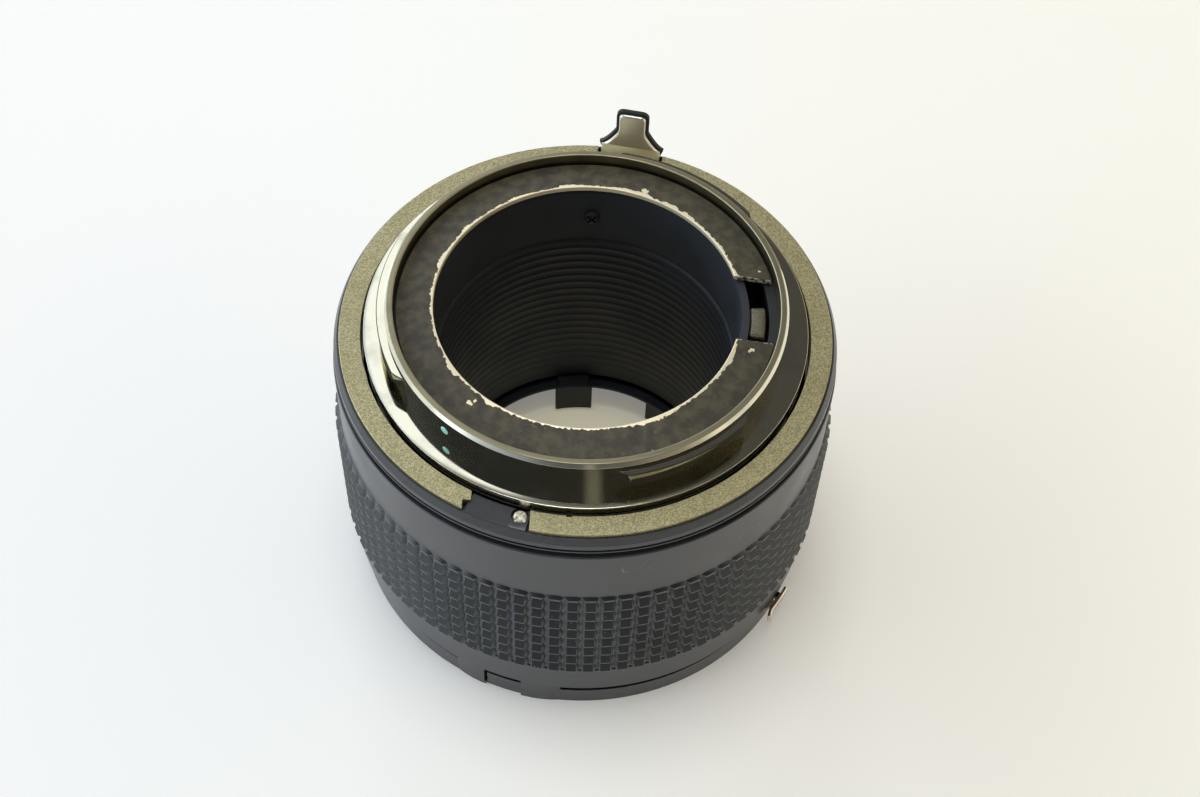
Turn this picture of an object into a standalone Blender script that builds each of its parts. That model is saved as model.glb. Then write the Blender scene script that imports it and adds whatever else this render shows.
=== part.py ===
"""Macro extension tube, camera side up, built as the real one comes apart on a bench.

The tube stands on its lens end. Z is the optical axis, the origin is on the axis at the foot
of the coupling ring, and azimuths are counted from +X towards +Y, seen from the camera side.
"""
import bpy
import bmesh
from math import atan2, cos, degrees, pi, radians, sin, sqrt
from mathutils import Matrix, Vector

MM = 0.001

# Fits and facets
FIT = 0.3 * MM                  # between pieces that seat on or run in each other
THREAD_GAP = 0.12 * MM          # round a screw, pin or rivet
RUN_GAP = 0.4 * MM              # round the turning rings and tubes
RING_FACETS = 48
INNER_FACETS = 32
SCREW_FACETS = 8
EYE_FACETS = 12

# Whole tube
EXTENSION = 42.5 * MM           # lens seat to camera flange
SEAT_DEPTH = 0.8 * MM           # lens seat above the coupling ring's foot
BORE_R = 19.0 * MM              # clear bore, at the crests of the baffle's ribs

# Ribbed light baffle
RIB_H = 0.7 * MM
RIB_PITCH = 1.46 * MM
BAFFLE_WALL = 0.7 * MM
SMOOTH_BORE_H = 11.7 * MM       # from the rim down to the first rib
BAFFLE_SCREW_AZ = (90, 210, 330)
BAFFLE_SCREW_R = 0.6 * MM
BAFFLE_SCREW_HEAD_R = 1.1 * MM
BAFFLE_SCREW_DOME_R = 0.77 * MM
BAFFLE_SCREW_HEAD_H = 0.4 * MM
BAFFLE_OUT_R = BORE_R + RIB_H + BAFFLE_WALL

# Stop-down carrier, a thin tube that turns between the baffle and the inner tube
CARRIER_T = 0.7 * MM
CARRIER_HEADROOM = 1.9 * MM     # under the inner tube's top flange
LEVER_AZ = -2.6
LEVER_HALF = 2.3 * MM
LEVER_REACH = 1.0 * MM          # outside the carrier
LEVER_TOP_DROP = 2.1 * MM       # below the rim
LEVER_H = 3.2 * MM
LEVER_MARGIN = 2                # degrees of clear space at each end of its travel
STOP_TRAVEL = 9                 # degrees of turn
FINGER_AZ = 96.0
FINGER_HALF = 2.8 * MM
FINGER_T = 0.6 * MM
FINGER_FOOT_Z = 0.4 * MM
CARRIER_PIN_AZ = -44.0
CARRIER_PIN_R = 0.6 * MM
PIN_REACH = 3.3 * MM            # outside the inner tube
SPRING_POST_AZ = -71.0
SPRING_RISE = 7.0 * MM          # above the barrel posts
SPRING_OFFSET = 2.3 * MM        # outside the inner tube
SPRING_COIL_R = 0.85 * MM
SPRING_WIRE_R = 0.14 * MM
SPRING_TURNS = 8
CARRIER_IN_R = BAFFLE_OUT_R + RUN_GAP
CARRIER_OUT_R = CARRIER_IN_R + CARRIER_T
LEVER_OUT_R = CARRIER_OUT_R + LEVER_REACH

# Inner tube
INNER_T = 1.4 * MM
TOP_FLANGE_T = 2.2 * MM
SPIGOT_T = 1.8 * MM
SPIGOT_RISE = 1.9 * MM
FOOT_FLANGE_T = 1.5 * MM
LEVER_SPACE = 1.3 * MM          # between the lens mount and the foot flange
POST_AZ = (40, 160, 280)
POST_R = 1.8 * MM
POST_SCREW_R = 0.8 * MM
POST_SCREW_HEAD_R = 1.5 * MM
POST_SCREW_L = 3.6 * MM
INNER_IN_R = CARRIER_OUT_R + RUN_GAP
INNER_OUT_R = INNER_IN_R + INNER_T
SPIGOT_IN_R = CARRIER_IN_R
SPIGOT_OUT_R = SPIGOT_IN_R + SPIGOT_T

# Camera bayonet
LEDGE_W = 1.2 * MM
BAYONET_WALL = 1.1 * MM
BAYONET_RISE = 4.6 * MM         # rim above the flange
FLANGE_W = 2.85 * MM
BASE_T = 2.9 * MM
RIM_CHAMFER = 0.2 * MM
LUG_REACH = 1.0 * MM
LUG_T = 1.5 * MM
LUG_DROP = 1.05 * MM            # lug top below the rim
CAMERA_LUGS = ((154, 210), (280, 322), (35, 85))
BAYONET_SCREW_AZ = (20, 110, 200, 290)
BAYONET_SCREW_R = 0.8 * MM
BAYONET_SCREW_HEAD_R = 1.4 * MM
BAYONET_SCREW_HEAD_H = 0.9 * MM
BAYONET_SCREW_GRIP = 1.7 * MM   # length in the bayonet
BASE_BORE_R = SPIGOT_OUT_R + FIT
BAYONET_BORE_R = BASE_BORE_R + LEDGE_W
BAYONET_R = BAYONET_BORE_R + BAYONET_WALL
FLANGE_R = BAYONET_R + FLANGE_W
BAYONET_SCREW_PCR = (BASE_BORE_R + FLANGE_R) / 2

# Mask plate in the camera bayonet
MASK_LIP = 0.15 * MM            # its bore outside the clear bore
MASK_T = 0.7 * MM
MASK_DROP = 1.5 * MM            # outer edge below the rim
MASK_CONE = 0.7 * MM            # inner edge above the outer edge
MASK_NOTCH_Y = (-4.8 * MM, 5.25 * MM)
MASK_NOTCH_DEPTH = 3.0 * MM     # how far its cutter reaches inside the bore
MASK_BORE_R = BORE_R + MASK_LIP
MASK_R = BAYONET_BORE_R - FIT

# Turning ring and plate round the flange
PLATE_GAP = 0.45 * MM
PLATE_W = 2.7 * MM
PLATE_DROP = 0.9 * MM           # plate face below the flange
PLATE_T = 0.9 * MM
NOTCH_AZ = (-114.8, -100.4)     # its sides, on the plate's middle circle
NOTCH_STEP_W = 1.0 * MM
NOTCH_STEP_DEPTH = 1.1 * MM     # in from the plate's edge
NICK_AZ = -91.7
NICK_R = 0.35 * MM              # half-round nick in the plate's bore
RING_GAP = 0.35 * MM
RING_MARGIN = 0.8 * MM          # outside the plate
RING_T = 1.2 * MM
RING_EDGE_T = 0.35 * MM
RING_BEVEL = 0.2 * MM
RIDGE_AZ = (-114.3, -105.1)
RIDGE_H = 0.8 * MM
RIDGE_INSET = 0.3 * MM
PLATE_IN_R = FLANGE_R + PLATE_GAP
PLATE_OUT_R = PLATE_IN_R + PLATE_W
RING_IN_R = FLANGE_R + RING_GAP
RING_R = PLATE_OUT_R + RING_MARGIN
TOP_FLANGE_R = RING_IN_R - FIT

# Coupling claw
CLAW_AZ = 81.0
CLAW_INSET = 0.2 * MM           # upright's outer face in from the plate's edge
CLAW_T = 0.5 * MM
CLAW_RIM = 0.45 * MM
CLAW_DEPTH = 1.0 * MM
CLAW_TOP = 8.0 * MM             # above its foot's underside
CLAW_NECK_Z = 4.5 * MM
CLAW_WING_Z = 1.7 * MM
CLAW_TOP_HALF = 2.2 * MM
CLAW_WING_HALF = 4.4 * MM
CLAW_FOOT_HALF = 3.95 * MM
CLAW_FOOT_L = 0.85 * MM
CLAW_FOOT_INSET = 0.1 * MM
CLAW_CORNER = 0.95 * MM
CLAW_FACE_R = PLATE_OUT_R - CLAW_INSET

# Barrel
BARREL_STEP = 0.2 * MM          # outside the turning ring
BARREL_WALL = 2.0 * MM
LIP_T = 0.6 * MM
LIP_INSET = 0.2 * MM
GROOVE_H = 0.9 * MM
GROOVE_DEPTH = 0.8 * MM
TOP_RECESS = 0.5 * MM           # wider bore round the drive sleeve's collar
BARREL_FOOT = 5.1 * MM
FOOT_WALL = 0.9 * MM
FOOT_BORE_H = 3.7 * MM
BARREL_EDGE = 0.15 * MM
BARREL_R = RING_R + BARREL_STEP
BARREL_IN_R = BARREL_R - BARREL_WALL
TOP_BORE_R = BARREL_IN_R + TOP_RECESS
RING_STEP_R = TOP_BORE_R - FIT
FOOT_BORE_R = BARREL_R - FOOT_WALL

# Rubber grip
FOOT_BAND_H = 5.1 * MM
TOP_BAND_H = 10.65 * MM
GRIP_SEAT_DEPTH = 1.2 * MM
GRIP_VALLEY_DEPTH = 0.3 * MM    # below the barrel's surface
GRIP_COLUMNS = 92
GRIP_ROWS = 8
KNOB_H = 1.1 * MM
GRIP_SEAT_R = BARREL_R - GRIP_SEAT_DEPTH
GRIP_VALLEY_R = BARREL_R - GRIP_VALLEY_DEPTH

# Drive sleeve between the two turning rings
SLEEVE_T = 0.9 * MM
COLLAR_T = 1.7 * MM
RING_SCREW_AZ = (-103, 17, 137)
RING_SCREW_R = 0.45 * MM
RING_SCREW_HEAD_R = 0.87 * MM
RING_SCREW_HEAD_H = 0.75 * MM
FLUSH_HEAD_H = 0.5 * MM
SLOT_TRAVEL = 50                # degrees of turn of the aperture coupling
SLEEVE_OUT_R = BARREL_IN_R - FIT
SLEEVE_IN_R = SLEEVE_OUT_R - SLEEVE_T
TOP_COLLAR_R = TOP_BORE_R - RUN_GAP
RING_SCREW_PCR = (RING_IN_R + TOP_COLLAR_R) / 2
FOOT_FLANGE_R = SLEEVE_IN_R - FIT

# Coupling ring at the lens end
COUPLING_INSET = 0.7 * MM       # inside the barrel's surface
COUPLING_STEP = 0.4 * MM        # its bore outside the sleeve's
COUPLING_GAP = 0.2 * MM         # under the barrel's foot
COUPLING_COLLAR_H = 1.5 * MM    # above the ring's top
SLOT_AZ = (-89, -25)
SLOT_DEPTH = 0.6 * MM
STEP_AZ = (-111.4, -102.2)
STEP_H = 1.6 * MM
SLIT_W = 0.5 * MM
SLIT_H = 2.6 * MM
PAD_REACH = 0.5 * MM
PAD_AZ = ((-118, -111.4), (-102.2, -95))
COLLAR_SCREW_AZ = (10, 110, 210)
COLLAR_SCREW_R = 0.45 * MM
COLLAR_SCREW_HEAD_R = 0.6 * MM
COUPLING_R = BARREL_R - COUPLING_INSET
COUPLING_IN_R = SLEEVE_IN_R + COUPLING_STEP
COUPLING_COLLAR_R = FOOT_BORE_R - FIT
COLLAR_SCREW_PCR = (COUPLING_IN_R + COUPLING_COLLAR_R) / 2

# Lens mount
SEAT_W = 2.5 * MM
MOUNT_T = 3.1 * MM
THROAT_LUG_REACH = 1.2 * MM
THROAT_LUG_T = 1.3 * MM
THROAT_LUGS = ((5, 62), (125, 182), (245, 302))
LEAF_T = 0.25 * MM
LEAF_W = 0.7 * MM
LEAF_INSET = 4                  # degrees from each end of its lug
MOUNT_SCREW_AZ = (-20, 52, 124, 196, 268)
MOUNT_SCREW_R = 0.55 * MM
MOUNT_SCREW_HEAD_R = 1.0 * MM
MOUNT_SCREW_HEAD_H = 0.6 * MM
MOUNT_BOSS_R = 1.1 * MM
SEAT_R = COUPLING_IN_R - FIT
THROAT_R = SEAT_R - SEAT_W
THROAT_LUG_R = THROAT_R - THROAT_LUG_REACH
MOUNT_SCREW_PCR = (THROAT_R + SEAT_R) / 2

# Lens end baffle plate
END_PLATE_LIP = 1.1 * MM        # reaches inside the clear bore
END_PLATE_MARGIN = 0.9 * MM     # outside the inner tube
END_PLATE_T = 0.5 * MM
END_TONGUE_AZ = (40, 60)
END_TONGUE_GAP = 0.1 * MM
END_PLATE_BORE_R = BORE_R - END_PLATE_LIP
END_PLATE_R = INNER_OUT_R + END_PLATE_MARGIN

# Lens release
PIVOT_SET = 0.3 * MM            # outside the throat
PIVOT_AZ = -58.0
PIVOT_PIN_R = 0.7 * MM
PIVOT_EYE_R = 1.35 * MM
RELEASE_T = 0.4 * MM
RELEASE_GAP = 0.2 * MM          # above and below the lever where it leaves the barrel
RELEASE_TRAVEL = 5.5            # degrees of swing
TAB_AZ = (-38.0, -28.4)
TAB_CLEAR = 0.7 * MM            # outside the barrel
TAB_L = 1.7 * MM
TAB_LIP_T = 0.5 * MM
TAB_LIP_H = 1.5 * MM
ARM_W = 2.2 * MM
ELBOW_R = 1.25 * MM
PAWL_AZ = -74.0
PAWL_SET = 0.7 * MM             # outside the throat
PAWL_R = 0.55 * MM
PAWL_NECK_R = 0.25 * MM
PAWL_ARM_HALF = 0.65 * MM
PAWL_TIP_Z = 0.15 * MM
RELEASE_SPRING_R = 0.16 * MM
RELEASE_SPRING_WRAP = 270       # degrees round its post
RELEASE_POST_AZ = -30.0
RELEASE_POST_SET = 1.4 * MM     # inside the throat
RELEASE_POST_R = 0.5 * MM
PIVOT_R = THROAT_R + PIVOT_SET
PAWL_PCR = THROAT_R + PAWL_SET
TAB_IN_R = BARREL_R + TAB_CLEAR
TAB_OUT_R = TAB_IN_R + TAB_L
RELEASE_POST_PCR = THROAT_R - RELEASE_POST_SET

# Heights that follow from the sizes above, from the camera end down
SEAT_Z = SEAT_DEPTH
FLANGE_Z = SEAT_Z + EXTENSION
RIM_Z = FLANGE_Z + BAYONET_RISE
BASE_Z = FLANGE_Z - BASE_T
LUG_TOP_Z = RIM_Z - LUG_DROP
MASK_EDGE_Z = RIM_Z - MASK_DROP
LEDGE_Z = MASK_EDGE_Z - MASK_T - FIT
MASK_SLOPE = MASK_CONE / (MASK_R - MASK_BORE_R)
BAFFLE_TOP_Z = MASK_EDGE_Z - MASK_T + MASK_SLOPE * (MASK_R - BAFFLE_OUT_R) - FIT
RIB_TOP_Z = RIM_Z - SMOOTH_BORE_H
PLATE_Z = FLANGE_Z - PLATE_DROP
RING_Z = PLATE_Z - PLATE_T - FIT
RING_FOOT_Z = RING_Z - RING_T
RING_EDGE_Z = RING_Z - RING_BEVEL - RING_EDGE_T
BARREL_TOP_Z = RING_EDGE_Z - RUN_GAP
SLEEVE_TOP_Z = RING_FOOT_Z - FIT
TOP_FLANGE_Z = BASE_Z - FIT
TOP_FLANGE_FOOT_Z = TOP_FLANGE_Z - TOP_FLANGE_T
SPIGOT_TOP_Z = TOP_FLANGE_Z + SPIGOT_RISE
BAFFLE_SCREW_Z = TOP_FLANGE_Z + SPIGOT_RISE / 2
CARRIER_TOP_Z = TOP_FLANGE_FOOT_Z - CARRIER_HEADROOM
GRIP_Z = (BARREL_FOOT + FOOT_BAND_H, BARREL_TOP_Z - TOP_BAND_H)
POST_Z = (GRIP_Z[0] + GRIP_Z[1]) / 2
CARRIER_PIN_Z = POST_Z + SPRING_RISE

# Heights at the lens end
MOUNT_TOP_Z = SEAT_Z + MOUNT_T
FOOT_FLANGE_Z = MOUNT_TOP_Z + LEVER_SPACE
FOOT_FLANGE_TOP_Z = FOOT_FLANGE_Z + FOOT_FLANGE_T
COUPLING_TOP_Z = BARREL_FOOT - COUPLING_GAP
SLOT_FLOOR_Z = COUPLING_TOP_Z - SLOT_DEPTH
RELEASE_Z = SLOT_FLOOR_Z + RELEASE_GAP
COLLAR_TOP_Z = COUPLING_TOP_Z + COUPLING_COLLAR_H
SLEEVE_FOOT_Z = COLLAR_TOP_Z + FIT
END_PLATE_TOP_Z = FOOT_FLANGE_Z - FIT
CARRIER_FOOT_Z = FOOT_FLANGE_Z
BAFFLE_FOOT_Z = CARRIER_FOOT_Z + FINGER_T + FIT

tube_collection = bpy.data.collections.new("macro_extension_tube")
cutter_collection = bpy.data.collections.new("cutters")


def polar(radius, azimuth, z=0.0):
    angle = radians(azimuth)
    return Vector((radius * cos(angle), radius * sin(angle), z))


def finish(name, colour, roughness, metallic=0.0):
    material = bpy.data.materials.new(name)
    material.use_nodes = True
    shader = material.node_tree.nodes["Principled BSDF"]
    shader.inputs["Base Color"].default_value = (*colour, 1.0)
    shader.inputs["Roughness"].default_value = roughness
    shader.inputs["Metallic"].default_value = metallic
    return material


def place(name, mesh, material, parent):
    """Add a piece to the tube's collection under the empty of its moving group."""
    piece = bpy.data.objects.new(name, mesh)
    tube_collection.objects.link(piece)
    mesh.materials.append(material)
    mesh.transform(Matrix.Translation(-parent.location))
    piece.parent = parent
    mesh.shade_smooth()
    mesh.set_sharp_from_angle(angle=radians(30))
    return piece


def cutter(name, mesh):
    tool = bpy.data.objects.new(name, mesh)
    cutter_collection.objects.link(tool)
    tool.hide_render = True
    tool.display_type = "WIRE"
    return tool


def shape(piece, tool, operation="DIFFERENCE"):
    modifier = piece.modifiers.new(tool.name, "BOOLEAN")
    modifier.operation = operation
    modifier.solver = "EXACT"
    modifier.object = tool


def evaluated_mesh(source, name):
    """Plain, welded mesh of a curve or of a piece with modifiers; the source is removed."""
    bpy.context.view_layer.update()
    graph = bpy.context.evaluated_depsgraph_get()
    mesh = bpy.data.meshes.new_from_object(source.evaluated_get(graph))
    mesh.name = name
    shell = bmesh.new()
    shell.from_mesh(mesh)
    bmesh.ops.remove_doubles(shell, verts=shell.verts, dist=1e-7)
    bmesh.ops.recalc_face_normals(shell, faces=shell.faces)
    shell.to_mesh(mesh)
    shell.free()
    bpy.data.objects.remove(source)
    return mesh


def turned(name, profile, material, parent, facets=RING_FACETS):
    """Ring turned from a closed profile of (radius, z), outer side first, from top to bottom."""
    mesh = bpy.data.meshes.new(name)
    count = len(profile)
    edges = [(i, (i + 1) % count) for i in range(count)]
    mesh.from_pydata([(r, 0.0, z) for r, z in profile], edges, [])
    piece = bpy.data.objects.new(name, mesh)
    tube_collection.objects.link(piece)
    mesh.materials.append(material)
    piece.parent = parent
    screw = piece.modifiers.new("turn", "SCREW")
    screw.angle = 2 * pi
    screw.steps = facets
    screw.render_steps = facets
    screw.use_merge_vertices = True
    screw.merge_threshold = 0.00001
    screw.use_smooth_shade = False
    return piece


def extruded(name, outline, z_low, z_high, closed_inner=None):
    """Welded mesh of a flat outline between two heights, with an optional hole outline."""
    curve = bpy.data.curves.new(name, "CURVE")
    curve.dimensions = "2D"
    curve.fill_mode = "BOTH"
    curve.extrude = (z_high - z_low) / 2
    for points in (outline, closed_inner):
        if points:
            spline = curve.splines.new("POLY")
            spline.points.add(len(points) - 1)
            for point, (x, y) in zip(spline.points, points):
                point.co = (x, y, 0.0, 1.0)
            spline.use_cyclic_u = True
    source = bpy.data.objects.new(name, curve)
    cutter_collection.objects.link(source)
    mesh = evaluated_mesh(source, name)
    mesh.transform(Matrix.Translation((0, 0, (z_low + z_high) / 2)))
    return mesh


def arc(radius, start, end, step=7.0):
    count = max(1, round(abs(end - start) / step))
    return [polar(radius, start + (end - start) * i / count).to_2d() for i in range(count + 1)]


def sector(name, inner, outer, z_low, z_high, start, end):
    """Block between two radii, two heights and two azimuths."""
    return extruded(name, arc(outer, start, end) + arc(inner, end, start), z_low, z_high)


def box(name, x, y, z):
    return extruded(name, [(x[0], y[0]), (x[1], y[0]), (x[1], y[1]), (x[0], y[1])], *z)


def bar(name, stations, facets=SCREW_FACETS):
    """Mesh of one turned bar through a list of (point, radius), with flat ends."""
    first, last = stations[0][0], stations[-1][0]
    direction = (first - last).normalized()
    outline = [(0.0, (first - last).length)]
    outline += [(radius, (point - last).dot(direction)) for point, radius in stations]
    outline.append((0.0, 0.0))
    mesh = bpy.data.meshes.new(name)
    mesh.from_pydata([(r, 0.0, z) for r, z in outline], [(i, i + 1) for i in range(len(outline) - 1)], [])
    source = bpy.data.objects.new(name, mesh)
    cutter_collection.objects.link(source)
    screw = source.modifiers.new("turn", "SCREW")
    screw.steps = facets
    screw.render_steps = facets
    screw.use_merge_vertices = True
    screw.merge_threshold = 0.00001
    solid = evaluated_mesh(source, name)
    turn = Vector((0, 0, 1)).rotation_difference(direction).to_matrix().to_4x4()
    solid.transform(Matrix.Translation(last) @ turn)
    return solid


def rod(name, start, end, radius, facets=SCREW_FACETS):
    """Round bar between two points."""
    return bar(name, [(start, radius), (end, radius)], facets)


def stepped_rod(name, stations, material, parent, facets=SCREW_FACETS):
    """Screw, rivet or pin."""
    return place(name, bar(name, stations, facets), material, parent)


def coil(name, start, end, radius, wire, turns, material, parent):
    """Close coil of wire between two points, with straight ends on its axis."""
    axis = (end - start).normalized()
    side = axis.cross(Vector((0, 0, 1))).normalized()
    up = side.cross(axis)
    length = (end - start).length
    samples = 8 * turns
    points = [start]
    for i in range(samples + 1):
        angle = 2 * pi * i / 8
        along = length * (0.08 + 0.84 * i / samples)
        points.append(start + axis * along + (side * cos(angle) + up * sin(angle)) * radius)
    points.append(end)
    return wire_piece(name, points, wire, material, parent)


def wire_piece(name, points, wire, material, parent):
    curve = bpy.data.curves.new(name, "CURVE")
    curve.dimensions = "3D"
    curve.bevel_depth = wire
    curve.bevel_resolution = 1
    curve.use_fill_caps = True
    spline = curve.splines.new("POLY")
    spline.points.add(len(points) - 1)
    for point, place_at in zip(spline.points, points):
        point.co = (*place_at, 1.0)
    source = bpy.data.objects.new(name, curve)
    cutter_collection.objects.link(source)
    return place(name, evaluated_mesh(source, name), material, parent)


def group(name, location=(0, 0, 0)):
    empty = bpy.data.objects.new(name, None)
    tube_collection.objects.link(empty)
    empty.location = location
    return empty


def camera_bayonet(chrome, body):
    """Flange, cylinder and rim in one turned piece, with three lugs."""
    profile = [
        (BAYONET_R - RIM_CHAMFER, RIM_Z), (BAYONET_R, RIM_Z - RIM_CHAMFER), (BAYONET_R, FLANGE_Z),
        (FLANGE_R, FLANGE_Z), (FLANGE_R, BASE_Z), (BASE_BORE_R, BASE_Z),
        (BASE_BORE_R, LEDGE_Z), (BAYONET_BORE_R, LEDGE_Z), (BAYONET_BORE_R, RIM_Z),
    ]
    bayonet = turned("camera_bayonet", profile, chrome, body)
    lug_foot = LUG_TOP_Z - LUG_T
    for number, (start, end) in enumerate(CAMERA_LUGS, 1):
        lug = sector(f"camera_lug_{number}", BAYONET_R - 2 * RIM_CHAMFER, BAYONET_R + LUG_REACH,
                     lug_foot, LUG_TOP_Z, start, end)
        shape(bayonet, cutter(f"camera_lug_{number}", lug), "UNION")
    for number, azimuth in enumerate(BAYONET_SCREW_AZ, 1):
        tip = polar(BAYONET_SCREW_PCR, azimuth, BASE_Z + BAYONET_SCREW_GRIP)
        hole = rod(f"bayonet_tapping_{number}", polar(BAYONET_SCREW_PCR, azimuth, BASE_Z - FIT),
                   tip + Vector((0, 0, FIT)), BAYONET_SCREW_R + THREAD_GAP)
        shape(bayonet, cutter(f"bayonet_tapping_{number}", hole))
        head_top = polar(BAYONET_SCREW_PCR, azimuth, TOP_FLANGE_FOOT_Z - FIT)
        head_foot = head_top - Vector((0, 0, BAYONET_SCREW_HEAD_H))
        stepped_rod(f"bayonet_screw_{number}",
                    [(tip, BAYONET_SCREW_R), (head_top, BAYONET_SCREW_R),
                     (head_top, BAYONET_SCREW_HEAD_R), (head_foot, BAYONET_SCREW_HEAD_R)], chrome, body)


def mask_plate(black, body):
    """Slightly coned plate that masks the frame, open at the side for the stop-down lever."""
    inner_z = MASK_EDGE_Z + MASK_CONE
    profile = [(MASK_R, MASK_EDGE_Z), (MASK_R, MASK_EDGE_Z - MASK_T),
               (MASK_BORE_R, inner_z - MASK_T), (MASK_BORE_R, inner_z)]
    mask = turned("mask_plate", profile, black, body)
    notch = box("mask_notch", (MASK_BORE_R - MASK_NOTCH_DEPTH, BAYONET_BORE_R + FIT), MASK_NOTCH_Y,
                (LEDGE_Z, RIM_Z))
    shape(mask, cutter("mask_notch", notch))


def ribbed_baffle(black, steel, body):
    """Thin tube lined with square ribs, held to the inner tube's spigot by three screws."""
    wall_r = BAFFLE_OUT_R - BAFFLE_WALL
    smooth_r = wall_r - RIB_H / 2
    crest_r = wall_r - RIB_H
    ribs = []
    z = RIB_TOP_Z
    while z - RIB_PITCH > BAFFLE_FOOT_Z + RIB_PITCH:
        ribs += [(wall_r, z), (crest_r, z - RIB_PITCH / 2)]
        z -= RIB_PITCH
    inner = [(smooth_r, BAFFLE_TOP_Z), (smooth_r, RIB_TOP_Z + RIB_PITCH / 4)] + ribs
    inner += [(wall_r, z), (wall_r, BAFFLE_FOOT_Z)]
    profile = [(BAFFLE_OUT_R, BAFFLE_TOP_Z), (BAFFLE_OUT_R, BAFFLE_FOOT_Z)] + inner[::-1]
    baffle = turned("ribbed_baffle", profile, black, body, INNER_FACETS)
    for number, azimuth in enumerate(BAFFLE_SCREW_AZ, 1):
        hole = rod(f"baffle_hole_{number}", polar(smooth_r - FIT, azimuth, BAFFLE_SCREW_Z),
                   polar(BAFFLE_OUT_R + FIT, azimuth, BAFFLE_SCREW_Z), BAFFLE_SCREW_R + THREAD_GAP)
        shape(baffle, cutter(f"baffle_hole_{number}", hole))
        head_r = smooth_r - FIT
        stepped_rod(f"baffle_screw_{number}",
                    [(polar(SPIGOT_OUT_R - FIT, azimuth, BAFFLE_SCREW_Z), BAFFLE_SCREW_R),
                     (polar(head_r, azimuth, BAFFLE_SCREW_Z), BAFFLE_SCREW_R),
                     (polar(head_r, azimuth, BAFFLE_SCREW_Z), BAFFLE_SCREW_HEAD_R),
                     (polar(head_r - BAFFLE_SCREW_HEAD_H, azimuth, BAFFLE_SCREW_Z),
                      BAFFLE_SCREW_DOME_R)], steel, body)


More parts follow.
